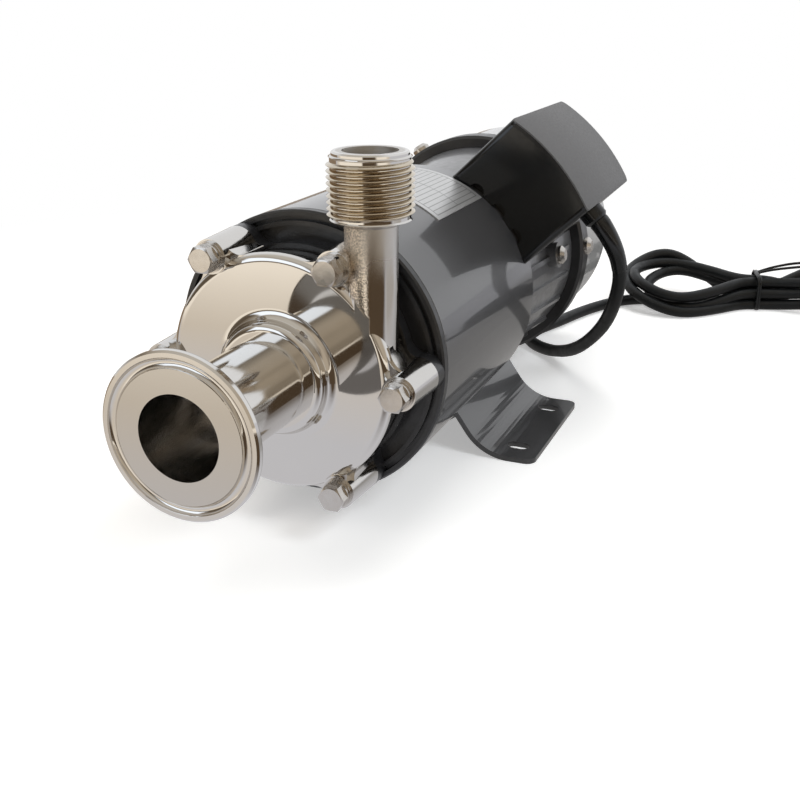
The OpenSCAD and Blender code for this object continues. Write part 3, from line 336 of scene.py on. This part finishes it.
def polished_steel(look):
    """Turned and buffed stainless steel, with a duller bore, and painted shade on the flange's flat front
    face and on its back
    """
    f = Finish("polished_steel", metallic=1.0)
    out = f.off_shaft()
    along = f.parts()["Y"]
    bore = f.short(out, INLET_R + 0.25 * MM, 0.15 * MM)
    # Painted shade: the back of the flange, which faces the casing, is made dark
    back = f.both(f.past(along, FACE_Y + 2.1 * MM, 0.3 * MM), f.past(out, TUBE_R + 1.5 * MM, 0.5 * MM))
    # Painted shade: the flange's flat front face is made darker than the rest of the polish
    face = f.both(f.short(along, FACE_Y + 1.9 * MM, 0.3 * MM), f.short(out, FACE_R, 0.3 * MM))
    buffed = f.mix(f.noise(60, 4), tinted(look.steel, 1.04), tinted(look.steel, 0.94))
    shaded_face = f.mix(face, buffed, tinted(look.steel, 0.86))
    f.feed("Base Color", f.mix(back, shaded_face, tinted(look.steel_shade, 0.42)))
    fine = f.spread(f.noise(900, 2, (1, 0.08, 1)), 0.3, 0.7, 0.07, 0.13)
    dull = f.math("MULTIPLY", f.math("MAXIMUM", bore, back), 0.13)
    f.feed("Roughness", f.math("ADD", fine, dull))
    f.feed("Normal", f.bump(f.noise(1500, 2, (0.4, 0.05, 0.4)), 0.06, 0.1 * MM))
    return f.material


def casing_steel(look):
    """Mirror polish on the disc, satin lugs and an as-cast skin on the left of the outlet's foot, whose
    darker warm tone there is partly painted shade
    """
    f = Finish("casing_steel", metallic=1.0)
    place = f.parts()
    out = f.off_shaft()
    off_outlet = f.length(f.math("SUBTRACT", place["X"], OUTLET_X),
                          f.math("SUBTRACT", place["Y"], OUTLET_Y))

    rim = f.both(f.past(out, DISC_R, 0.7 * MM), f.short(place["Z"], THREAD_LOW - 0.65 * MM, 1.25 * MM))
    high = f.past(place["Z"], SHAFT_Z + 20 * MM, 4 * MM)
    upright = f.both(f.past(place["X"], 17 * MM, 2 * MM), high)
    # The skin lies on the pipe's left side, where its darker warm tone is partly painted shade
    pipe = f.both(f.between(place["X"], 16.5 * MM, 31.5 * MM, 2 * MM), high,
                  f.short(off_outlet, CAST_R, 1.1 * MM))
    cast = f.both(rim, pipe, f.spread(f.noise(160, 3), 0.30, 0.60, 0.75, 1.0))
    lugs = f.math("SUBTRACT", rim, f.both(rim, upright))
    mouth = f.both(f.short(off_outlet, MOUTH_R, 0.3 * MM), f.past(place["Z"], SHAFT_Z + 40 * MM, 10 * MM))

    grain = f.noise(1700, 2)
    disc = f.mix(f.noise(45, 3), look.steel, tinted(look.steel, 0.95))
    satin = f.mix(f.noise(90, 3), look.steel, tinted(look.steel, 0.88))
    skin = f.mix(f.spread(grain, 0.38, 0.66), look.cast_skin_and_shade, tinted(look.cast_skin_and_shade, 0.45))
    f.feed("Base Color", f.mix(cast, f.mix(rim, disc, satin), skin))

    smooth = f.spread(f.noise(70, 3), 0.3, 0.7, 0.03, 0.06)
    dull = f.spread(f.noise(300, 3), 0.3, 0.7, 0.10, 0.16)
    rough = f.math("ADD", smooth, f.math("MULTIPLY", lugs, f.math("SUBTRACT", dull, smooth)))
    bore = f.short(out, INLET_R + 0.25 * MM, 0.15 * MM)
    for mask, more in ((bore, 0.16), (cast, 0.10), (mouth, 0.45)):
        rough = f.math("ADD", rough, f.math("MULTIPLY", mask, more))
    f.feed("Roughness", rough)

    dents = f.bump(f.both(cast, grain), 0.30, 0.4 * MM)
    waves = f.bump(f.both(rim, f.noise(140, 2)), 0.04, 0.4 * MM, dents)
    f.feed("Normal", f.bump(f.noise(30, 2), 0.07, 0.6 * MM, waves))
    return f.material


def thread_painted_reflection(look):
    """Machined thread flanks, with a warmer tone than the polish around them as a painted reflection of warm
    surroundings
    """
    f = Finish("thread_painted_reflection", metallic=1.0)
    # Painted reflection: warm tones for the surroundings that the flanks reflect
    f.feed("Base Color", f.mix(f.noise(200, 3), look.thread, tinted(look.thread, 0.72)))
    f.mottle("Roughness", f.noise(900, 2, (1, 1, 0.1)), 0.06, 0.12)
    return f.material


def plated_steel(look):
    """Bright plated bolts and washers with handling marks"""
    f = Finish("plated_steel", metallic=1.0)
    f.feed("Base Color", f.mix(f.noise(300, 3), tinted(look.steel, 0.92), look.steel_shade))
    f.mottle("Roughness", f.noise(500, 3), 0.18, 0.28)
    f.feed("Normal", f.bump(f.noise(700, 3), 0.06, 0.2 * MM))
    return f.material


def sprayed(name, colour):
    """Sprayed gloss paint on sheet steel, with a faint orange peel"""
    f = Finish(name, roughness=0.30, coat_weight=0.8, coat_roughness=0.05)
    f.feed("Base Color", f.mix(f.noise(25, 3), tinted(colour, 1.10), tinted(colour, 0.90)))
    f.feed("Normal", f.bump(f.noise(150, 2), 0.05, 0.5 * MM))
    return f.material


def cast_gray_painted_light(look):
    """Paint over a cast shield, dulled and slightly rough, and made about twice as light as the motor's gray
    paint as painted light on the lit shield
    """
    f = Finish("cast_gray_painted_light", coat_weight=0.7, coat_roughness=0.12)
    paint = look.gray_paint
    # Painted light: the motor's gray paint, taken 1.7 to 2.3 times as light
    f.feed("Base Color", f.mix(f.noise(60, 4), tinted(paint, 2.3), tinted(paint, 1.7)))
    f.mottle("Roughness", f.noise(300, 3), 0.30, 0.42)
    f.feed("Normal", f.bump(f.noise(500, 3), 0.12, 0.4 * MM))
    return f.material


def satin_black(look):
    """Satin black paint on the bracket and on the clamping ring"""
    f = Finish("satin_black", coat_weight=0.25, coat_roughness=0.22)
    paint = look.black_paint
    f.feed("Base Color", f.mix(f.noise(80, 4), tinted(paint, 1.35), tinted(paint, 0.75)))
    f.mottle("Roughness", f.noise(240, 3), 0.30, 0.44)
    f.feed("Normal", f.bump(f.noise(900, 3), 0.16, 0.3 * MM))
    return f.material


def moulded(name, colour, low, high, grain, relief=0.22):
    """Injection moulded plastic with a spark-eroded grain"""
    f = Finish(name)
    f.feed("Base Color", f.mix(f.noise(120, 3), tinted(colour, 1.08), tinted(colour, 0.93)))
    f.mottle("Roughness", f.noise(grain, 2), low, high)
    f.feed("Normal", f.bump(f.noise(grain, 2), relief, 0.12 * MM))
    return f.material


def lid_plastic_painted_light(look):
    """Moulded black plastic whose outer face is grained and painted a lighter gray for the light it catches,
    and whose edges are smooth and dark
    """
    f = Finish("lid_plastic_painted_light")
    # Painted light: the outer face takes the lid's gray, the edges the black plastic
    face = f.past(f.off_shaft(), LID_R - 0.55 * MM, 0.15 * MM)
    grain = f.noise(1100, 2)
    tone = f.mix(f.noise(120, 3), tinted(look.lid, 1.06), tinted(look.lid, 0.95))
    f.feed("Base Color", f.mix(face, look.plastic, tone))
    f.feed("Roughness", f.math("ADD", 0.24, f.both(face, f.spread(grain, 0.3, 0.7, 0.24, 0.36))))
    f.feed("Normal", f.bump(f.both(face, grain), 0.20, 0.12 * MM))
    return f.material


def bare_metal(name, colour, low, high):
    """Ground or stamped metal of the inner pieces"""
    f = Finish(name, metallic=1.0)
    f.feed("Base Color", f.mix(f.noise(150, 3), tinted(colour, 1.05), tinted(colour, 0.85)))
    f.mottle("Roughness", f.noise(600, 3, (1, 0.1, 1)), low, high)
    return f.material


def ruled_plate(look):
    """Bare satin plate with a ruled blank table"""
    f = Finish("ruled_plate", metallic=0.75)
    uv = f.tree.nodes.new("ShaderNodeUVMap").outputs[0]
    place = f.node("ShaderNodeSeparateXYZ", {0: uv}).outputs
    rules = []
    for axis, count in (("X", 2.0), ("Y", 13.0)):
        wave = f.math("PINGPONG", f.math("MULTIPLY", f.spread(place[axis], 0.06, 0.94), count), 0.5)
        rules.append(f.short(wave, 0.0055 * count, 0.0025 * count))
    lines = f.math("MAXIMUM", *rules)
    for axis in ("X", "Y"):
        lines = f.both(lines, f.past(f.math("PINGPONG", place[axis], 0.5), 0.053, 0.003))
    brushed = f.mix(f.noise(300, 3, (1, 8, 1)), look.plate, tinted(look.plate, 0.86))
    f.feed("Base Color", f.mix(lines, brushed, tinted(look.plate, 0.40)))
    f.mottle("Roughness", f.noise(500, 2), 0.30, 0.42)
    return f.material


def sheath(look):
    """Extruded cord sheath, slightly scuffed"""
    f = Finish("cord_sheath", specular_ior_level=0.4)
    f.feed("Base Color", f.mix(f.noise(90, 4), tinted(look.cord, 1.5), tinted(look.cord, 0.7)))
    f.mottle("Roughness", f.noise(220, 3), 0.36, 0.52)
    f.feed("Normal", f.bump(f.noise(500, 3), 0.15, 0.3 * MM))
    return f.material


def coat(obj, material):
    """Makes a material an object's only one"""
    obj.data.materials.clear()
    obj.data.materials.append(material)


def soften(node, width):
    """Rounds the sharp edges of a carried-over node as paint and moulding do"""
    obj = NODES[node]
    weld = obj.modifiers.new("weld", "WELD")
    weld.merge_threshold = MERGE
    bevel = obj.modifiers.new("edge", "BEVEL")
    bevel.width = width
    bevel.segments = 2
    bevel.limit_method = "ANGLE"
    bevel.angle_limit = PAINT_ANGLE


def piece(name, mesh, material):
    """Turns a bmesh into a smooth object that rides on the base"""
    data = bpy.data.meshes.new(name)
    mesh.to_mesh(data)
    mesh.free()
    data.materials.append(material)
    for face in data.polygons:
        face.use_smooth = True
    obj = bpy.data.objects.new(name, data)
    bpy.context.scene.collection.objects.link(obj)
    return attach(obj, "base")


def keep_normals(mesh, node):
    """Gives a merged copy of a node the node's own corner normals"""
    centres = KDTree(len(node.polygons))
    for face in node.polygons:
        centres.insert(face.center, face.index)
    centres.balance()
    normals = []
    for face in mesh.polygons:
        match = node.polygons[centres.find(face.center)[1]]
        corners = [(node.vertices[node.loops[k].vertex_index].co, k) for k in match.loop_indices]
        for loop in face.loop_indices:
            corner = mesh.vertices[mesh.loops[loop].vertex_index].co
            nearest = min(corners, key=lambda pair: (pair[0] - corner).length)[1]
            normals.append(node.corner_normals[nearest].vector.copy())
    mesh.normals_split_custom_set(normals)


def harden_edges(obj):
    """Smooth faces with hard edges past an angle"""
    mesh = bmesh.new()
    mesh.from_mesh(obj.data)
    for e in mesh.edges:
        e.smooth = len(e.link_faces) == 2 and e.calc_face_angle(0) < HARD_ANGLE
    mesh.to_mesh(obj.data)
    mesh.free()


def from_outlet(vert):
    """A vertex's way out from the outlet's axis"""
    return Vector((vert.co.x - OUTLET_X, vert.co.y - OUTLET_Y))


def set_out(vert, away, radius):
    """Moves a vertex to a radius about the outlet's axis"""
    away.length = radius
    vert.co.x, vert.co.y = OUTLET_X + away.x, OUTLET_Y + away.y


def through(points, steps):
    """A smooth curve through given points"""
    last = len(points) - 1
    curve = []
    for i in range(last):
        p0, p1, p2, p3 = (Vector(points[min(max(k, 0), last)]) for k in (i - 1, i, i + 1, i + 2))
        for s in range(steps):
            t = s / steps
            curve.append(0.5 * (2 * p1 + (p2 - p0) * t + (2 * p0 - 5 * p1 + 4 * p2 - p3) * t * t
                                + (3 * p1 - p0 - 3 * p2 + p3) * t ** 3))
    curve.append(Vector(points[last]))
    return curve


def reaches(points):
    """How far along a path each of its points lies"""
    along = [0.0]
    for a, b in zip(points, points[1:]):
        along.append(along[-1] + (b - a).length)
    return along


def even(points, gap):
    """The same path with its points at even gaps"""
    along = reaches(points)
    count = round(along[-1] / gap)
    spaced, k = [], 0
    for i in range(count + 1):
        reach = along[-1] * i / count
        while k < len(points) - 2 and along[k + 1] < reach:
            k += 1
        spaced.append(points[k].lerp(points[k + 1], (reach - along[k]) / (along[k + 1] - along[k])))
    return spaced


def relaxed(points, rounds, low):
    """Eases the bends of a path, with its ends kept and no point below a height"""
    for _ in range(rounds):
        inner = [(a + 2 * b + c) / 4 for a, b, c in zip(points[1:], points[2:], points[3:])]
        points = points[:2] + inner + points[-1:]
        points = [Vector((p.x, p.y, max(p.z, low))) for p in points]
    return points


def fold(start, end, reach, radius, legs, top):
    """One loop of the hank, from a place in the tie round its end and back to the next place in the tie"""
    way = math.copysign(1, reach)
    centre = reach - way * radius
    side = math.copysign(1, start[0]) if abs(start[0]) > 0.1 else 1.0
    out, back = legs
    clear, half_way, opened = way * 9, centre * 0.55, side * radius * 0.66
    points = [(clear, start[0], start[1]), (half_way, opened, (start[1] + out) / 2)]
    for turn, height in ((0, out), (45, (out + top) / 2), (90, top), (135, (back + top) / 2), (180, back)):
        a = math.radians(turn)
        points.append((centre + way * radius * math.sin(a), side * radius * math.cos(a), height))
    points.append((half_way, -opened, (end[1] + back) / 2))
    points.append((clear, end[0], end[1]))
    points.append((0, end[0], end[1]))
    return points


def hank_points(d):
    """The hank's strands in its own frame: along the tie's axis, across it and up, in millimetres"""
    step = d * 1.03
    floor, second, third, fourth = (d / 2 + step * i for i in range(4))
    places = [(0, floor), (-step, floor), (step, floor), (-step, second), (step, second),
              (-step / 2, third - 0.5), (step / 2, third - 0.5)]
    # Each loop's reach, radius, heights of its two legs and height of its end
    loops = [(71, 22, (second, second), second), (-73, 27, (floor, 24.5), 14),
             (71, 22, (third, third), third), (-61, 21, (floor + 1, 16), second + 1),
             (71, 22, (fourth, fourth), fourth), (-69, 23, (second + 1, 19.5), third + 2)]
    points = [(-38, 0, floor), (-20, 0, floor), (0, 0, floor)]
    for start, end, loop in zip(places, places[1:], loops):
        points += fold(start, end, *loop)
    points += [(10, step / 2, third - 1), (24, 1.5, second), (40, 0, floor + 1), (56, 0, floor)]
    return [HANK_PLACE @ Vector(p) for p in points]


def cord_path(d):
    """The cord's middle line in metres, for a diameter in millimetres"""
    points = [Vector(p) for p in CORD_RUN] + hank_points(d) + [Vector(p) for p in CORD_TAIL]
    return [p * MM for p in relaxed(even(through(points, CURVE_STEPS), CORD_GAP), EASE_ROUNDS, d / 2)]


def wire(name, diameter, resolution, node):
    """An object for round strands, with the material of a node"""
    curve = bpy.data.curves.new(name, "CURVE")
    curve.dimensions = "3D"
    curve.bevel_depth = diameter / 2
    curve.bevel_resolution = resolution
    curve.use_fill_caps = True
    curve.materials.append(NODES[node].data.materials[0])
    obj = bpy.data.objects.new(name, curve)
    bpy.context.scene.collection.objects.link(obj)
    return obj


def add_strand(obj, places):
    """Adds a strand through places in metres and returns its points"""
    spline = obj.data.splines.new("POLY")
    spline.points.add(len(places) - 1)
    for point, place in zip(spline.points, places):
        point.co = (*place, 1)
    spline.use_smooth = True
    return spline.points


def add_relief(path, sizes):
    """Tapered bend relief of the gland round the cord's first stretch"""
    relief = wire("bend_relief", sizes.relief_d, 4, "cable_gland")
    along = [s for s in reaches(path) if s <= sizes.relief_len]
    narrow = 1.06 * sizes.cord_d / sizes.relief_d
    for point, reach in zip(add_strand(relief, path[:len(along)]), along):
        point.radius = 1 - (1 - narrow) * reach / sizes.relief_len
    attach(relief, "base")
    return relief


class PUMP_OT_finishes(bpy.types.Operator):
    """Gives every carried-over node its finish"""

    bl_idname = "pump.finishes"
    bl_label = "Finishes"

    def execute(self, context):
        look = context.scene.pump_finish
        edge = context.scene.pump_sizes.edge
        groups = (
            (polished_steel(look), ("inlet_ferrule", "back_plate", "impeller", "impeller_nut")),
            (casing_steel(look), ("pump_casing",)),
            (plated_steel(look), ("casing_bolts", "spring_washers", "flat_washers", "shield_screws",
                                  "ring_screws", "box_screws")),
            (satin_black(look), ("bracket", "cover_ring")),
            (sprayed("gloss_gray", look.gray_paint), ("motor_sleeve", "left_foot", "right_foot")),
            (sprayed("gloss_pale", look.cover_paint), ("fan_cover",)),
            (cast_gray_painted_light(look), ("rear_shield",)),
            (moulded("black_plastic", look.plastic, 0.13, 0.18, 500, 0.03),
             ("terminal_box", "cable_gland", "fan", "capacitor", "cord_tie")),
            (lid_plastic_painted_light(look), ("box_lid",)),
            (moulded("pale_plastic", (0.72, 0.69, 0.62), 0.4, 0.6, 600), ("terminal_block",)),
            (moulded("cage_plastic", (0.5, 0.38, 0.2), 0.4, 0.6, 600), ("bearing_cages",)),
            (moulded("seal_carbon", (0.03, 0.03, 0.032), 0.2, 0.3, 900), ("seal_ring",)),
            (moulded("seal_ceramic", (0.8, 0.78, 0.73), 0.12, 0.2, 900), ("seal_seat",)),
            (moulded("seal_rubber", (0.02, 0.02, 0.02), 0.5, 0.7, 700), ("casing_o_ring", "seal_bellows")),
            (bare_metal("laminations", (0.34, 0.34, 0.35), 0.4, 0.6), ("stator_core", "rotor_core")),
            (bare_metal("winding_copper", (0.5, 0.22, 0.1), 0.3, 0.45), ("windings",)),
            (bare_metal("ground_steel", (0.66, 0.65, 0.63), 0.18, 0.3),
             ("shaft", "bearing_outers", "bearing_inners", "bearing_balls", "wave_washer")),
            (sheath(look), ("power_cord", "cord_hank", "cord_tail", "plug_body")),
            (bare_metal("pin_brass", (0.72, 0.55, 0.25), 0.2, 0.32), ("plug_pins",)),
        )
        for material, nodes in groups:
            for node in nodes:
                coat(NODES[node], material)
        for node, share in (("box_lid", 1.0), ("terminal_box", 1.0), ("left_foot", 0.6),
                            ("right_foot", 0.6), ("plug_body", 1.6)):
            soften(node, edge * share)
        return {"FINISHED"}


class PUMP_OT_outlet_thread(bpy.types.Operator):
    """Cuts the outlet's pipe thread into a copy of the casing"""

    bl_idname = "pump.outlet_thread"
    bl_label = "Outlet thread"

    def execute(self, context):
        sizes = context.scene.pump_sizes
        node = NODES["pump_casing"].data
        root = THREAD_R - sizes.thread_depth
        slack = 0.01 * MM
        casing = bmesh.new()
        casing.from_mesh(node)
        bmesh.ops.remove_doubles(casing, verts=casing.verts, dist=MERGE)
        dressed = piece("threaded_casing", casing, node.materials[0])
        keep_normals(dressed.data, node)
        for vert in dressed.data.vertices:
            away = from_outlet(vert)
            if THREAD_LOW - slack < vert.co.z < THREAD_HIGH + slack and away.length > root:
                set_out(vert, away, root)
        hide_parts("pump_casing")

        # One ridge of whole turns, whose foot lies in the root and whose ends run out on the far side
        foot, tip = root - 0.3 * MM, THREAD_R - 0.12 * MM
        half = sizes.thread_pitch / 2
        base = THREAD_LOW + half / 2
        run_out = 0.3
        turns = int((THREAD_HIGH - THREAD_LOW) / sizes.thread_pitch)
        profile = ((foot, -0.98), (root, -0.92), (tip, -0.14), (THREAD_R, 0),
                   (tip, 0.14), (root, 0.92), (foot, 0.98))
        thread = bmesh.new()
        ring = [thread.verts.new((OUTLET_X, OUTLET_Y + r, base + z * half)) for r, z in profile]
        edges = [thread.edges.new(pair) for pair in zip(ring, ring[1:])]
        bmesh.ops.spin(thread, geom=ring + edges, cent=(OUTLET_X, OUTLET_Y, 0), axis=(0, 0, 1),
                       dvec=Vector((0, 0, sizes.thread_pitch / sizes.turn_steps)),
                       angle=2 * math.pi * turns, steps=turns * sizes.turn_steps)
        for vert in thread.verts:
            away = from_outlet(vert)
            part = math.atan2(-away.x, away.y) / (2 * math.pi)
            turn = round((vert.co.z - base) / sizes.thread_pitch - part) + part
            risen = min(max(min(turn, turns - turn) / run_out, 0), 1)
            set_out(vert, away, foot + (away.length - foot) * risen)
        bmesh.ops.holes_fill(thread, edges=[e for e in thread.edges if e.is_boundary], sides=0)
        bmesh.ops.recalc_face_normals(thread, faces=thread.faces)
        ridge = piece("thread_ridge", thread, thread_painted_reflection(context.scene.pump_finish))
        harden_edges(ridge)
        return {"FINISHED"}


class PUMP_OT_rating_plate(bpy.types.Operator):
    """Lays a bare ruled plate on the motor's sleeve"""

    bl_idname = "pump.rating_plate"
    bl_label = "Rating plate"

    def execute(self, context):
        thick = context.scene.pump_sizes.plate_t
        mesh = bmesh.new()
        uv = mesh.loops.layers.uv.new("table")
        bmesh.ops.create_grid(mesh, x_segments=16, y_segments=8, size=0.5)
        for face in mesh.faces:
            for loop in face.loops:
                loop[uv].uv = (loop.vert.co.y + 0.5, loop.vert.co.x + 0.5)
        for vert in mesh.verts:
            a = PLATE_NEAR + (vert.co.x + 0.5) * (PLATE_FAR - PLATE_NEAR)
            y = PLATE_FRONT + (vert.co.y + 0.5) * (PLATE_BACK - PLATE_FRONT)
            vert.co = (SLEEVE_R * math.cos(a), y, SHAFT_Z + SLEEVE_R * math.sin(a))
        bmesh.ops.recalc_face_normals(mesh, faces=mesh.faces)
        middle = (PLATE_NEAR + PLATE_FAR) / 2
        out = Vector((math.cos(middle), 0, math.sin(middle)))
        if sum(f.normal.dot(out) for f in mesh.faces) < 0:
            bmesh.ops.reverse_faces(mesh, faces=mesh.faces)
        bmesh.ops.solidify(mesh, geom=mesh.faces, thickness=-thick)
        plate = piece("rating_plate", mesh, ruled_plate(context.scene.pump_finish))
        harden_edges(plate)
        return {"FINISHED"}


class PUMP_OT_twist_tie(bpy.types.Operator):
    """Winds a coated wire twice round the hank and leaves its ends in a bow"""

    bl_idname = "pump.twist_tie"
    bl_label = "Twist tie"

    def execute(self, context):
        wound = []
        count = TIE_TURNS * TIE_STEPS
        for i in range(count + 1):
            a = 2 * math.pi * i / TIE_STEPS + math.pi / 2
            across, up = math.cos(a), math.sin(a)
            grow = 1 / max(abs(across), abs(up)) ** TIE_SQUARE
            height = max(TIE_MIDDLE + TIE_HIGH * up * grow, TIE_LOW)
            wound.append(Vector((TIE_PITCH * (TIE_TURNS * i / count - 1), TIE_WIDE * across * grow, height)))
        tie = wire("twist_tie", context.scene.pump_sizes.tie_d, 2, "cord_tie")
        for strand in (through(TIE_BOW, 4), wound):
            add_strand(tie, [HANK_PLACE @ p * MM for p in strand])
        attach(tie, "base")
        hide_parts("cord_tie")
        return {"FINISHED"}


class PUMP_OT_power_cord(bpy.types.Operator):
    """Lays the cord from its gland through the tied hank to the plug"""

    bl_idname = "pump.power_cord"
    bl_label = "Power cord"

    def execute(self, context):
        sizes = context.scene.pump_sizes
        d = sizes.cord_d
        path = cord_path(d / MM)
        cord = wire("mains_cord", d, 3, "power_cord")
        add_strand(cord, path)
        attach(cord, "base")
        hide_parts("power_cord", "cord_hank", "cord_tail")
        relief = add_relief(path, sizes)
        return {"FINISHED"}


class PUMP_OT_stage(bpy.types.Operator):
    """Sets the floor, the soft light and the camera"""

    bl_idname = "pump.stage"
    bl_label = "Stage"

    def execute(self, context):
        context.scene.view_settings.view_transform = "Standard"
        add_floor()
        add_world()
        for lamp in LAMPS:
            add_lamp(*lamp)
        add_camera(context.scene)
        return {"FINISHED"}


def add_camera(scene):
    """The main picture's camera"""
    view = scene.pump_view
    data = bpy.data.cameras.new("camera")
    data.lens = view.lens
    data.sensor_width = 36
    data.clip_start, data.clip_end = 0.01, 20
    camera = bpy.data.objects.new("camera", data)
    scene.collection.objects.link(camera)
    turn = (Matrix.Rotation(view.azimuth, 4, "Z") @ Matrix.Rotation(math.pi / 2 - view.elevation, 4, "X")
            @ Matrix.Rotation(view.roll, 4, "Z"))
    camera.matrix_world = Matrix.Translation(view.place) @ turn
    scene.camera = camera


def add_lamp(name, place, aim, size, power, colour):
    """A soft lamp that reflections don't show"""
    data = bpy.data.lights.new(name, "AREA")
    data.size = size
    data.energy = power
    data.color = colour
    lamp = bpy.data.objects.new(name, data)
    lamp.visible_glossy = False
    lamp.location = place
    lamp.rotation_mode = "QUATERNION"
    lamp.rotation_quaternion = (Vector(aim) - Vector(place)).to_track_quat("-Z", "Y")
    bpy.context.scene.collection.objects.link(lamp)


def add_floor():
    """White to the camera but for the shadows, with tones of its own in reflections"""
    mesh = bmesh.new()
    bmesh.ops.create_grid(mesh, x_segments=1, y_segments=1, size=FLOOR_HALF)
    data = bpy.data.meshes.new("floor")
    mesh.to_mesh(data)
    mesh.free()
    floor = bpy.data.objects.new("floor", data)
    bpy.context.scene.collection.objects.link(floor)
    f = Finish("pale_floor", base_color=(0.9, 0.9, 0.9), roughness=0.8, specular_ior_level=0.1,
               emission_color=WHITE)
    place = f.parts()
    rays = f.node("ShaderNodeLightPath").outputs
    f.feed("Emission Strength", f.math("MULTIPLY", rays["Is Camera Ray"], 0.38))
    tones = f.mix(f.spread(place["Y"], -0.19, -0.31), FLOOR_NEAR, FLOOR_MIDDLE)
    tones = f.mix(f.spread(place["Y"], -0.31, -0.44), tones, FLOOR_FAR)
    for across, along, tone in FLOOR_PATCHES:
        patch = f.both(f.between(place["X"], *across), f.between(place["Y"], *along))
        tones = f.mix(patch, tones, tone)
    far = f.both(f.spread(f.length(place["X"], place["Y"]), 0.20, 0.50), rays["Is Camera Ray"])
    white = f.node("ShaderNodeEmission", {"Color": (*WHITE, 1)}).outputs[0]
    fade = f.node("ShaderNodeMixShader", {0: far, 1: f.shader.outputs[0], 2: white}).outputs[0]
    mirrored = f.node("ShaderNodeEmission", {"Color": tones}).outputs[0]
    shown = f.node("ShaderNodeMixShader", {0: rays["Is Glossy Ray"], 1: fade, 2: mirrored}).outputs[0]
    f.tree.links.new(shown, f.tree.nodes["Material Output"].inputs["Surface"])
    data.materials.append(f.material)


def add_world():
    """White behind the pump, and a warm dim studio with a soft box in front of it for reflections"""
    world = bpy.data.worlds.new("studio")
    bpy.context.scene.world = world
    world.use_nodes = True
    n = Nodes(world.node_tree, "Generated")
    way = n.parts()
    rays = n.node("ShaderNodeLightPath").outputs
    around = n.mix(n.spread(n.noise(1.5, 2), 0.40, 0.62), STUDIO_DARK, STUDIO_PALE)
    around = n.mix(n.spread(way["Z"], 0.45, 0.85), around, OVERHEAD)
    lit = n.both(n.between(way["X"], -0.70, -0.20, 0.03), n.between(way["Z"], 0.18, 0.62, 0.03))
    around = n.mix(lit, around, SOFT_BOX)
    around = n.mix(n.spread(way["Y"], -0.05, 0.30), around, BACKDROP)
    seen = n.mix(rays["Is Glossy Ray"], AMBIENT, around)
    seen = n.mix(rays["Is Camera Ray"], seen, WHITE)
    n.tree.links.new(seen, n.tree.nodes["Background"].inputs["Color"])


class PUMP_PT_looks(bpy.types.Panel):
    """Shows the pump's settings and the buttons of its steps"""

    bl_idname = "PUMP_PT_looks"
    bl_label = "Pump"
    bl_space_type = "VIEW_3D"
    bl_region_type = "UI"
    bl_category = "Pump"

    def draw(self, context):
        for group in (context.scene.pump_finish, context.scene.pump_sizes, context.scene.pump_view):
            for key in group.bl_rna.properties.keys():
                if key not in {"rna_type", "name"}:
                    self.layout.prop(group, key)
        for operator in OPERATORS:
            self.layout.operator(operator.bl_idname)


OPERATORS = (PUMP_OT_finishes, PUMP_OT_outlet_thread, PUMP_OT_rating_plate, PUMP_OT_twist_tie,
             PUMP_OT_power_cord, PUMP_OT_stage)
GROUPS = {"pump_finish": PumpFinish, "pump_sizes": PumpSizes, "pump_view": PumpView}


def register():
    for item in (*GROUPS.values(), *OPERATORS, PUMP_PT_looks):
        bpy.utils.register_class(item)
    for name, group in GROUPS.items():
        setattr(bpy.types.Scene, name, PointerProperty(type=group))


def unregister():
    for name in GROUPS:
        delattr(bpy.types.Scene, name)
    for item in (PUMP_PT_looks, *reversed(OPERATORS), *reversed(list(GROUPS.values()))):
        bpy.utils.unregister_class(item)


def main():
    register()
    bpy.ops.pump.finishes()
    bpy.ops.pump.outlet_thread()
    bpy.ops.pump.rating_plate()
    bpy.ops.pump.twist_tie()
    bpy.ops.pump.power_cord()
    bpy.ops.pump.stage()


if __name__ == "__main__":
    main()
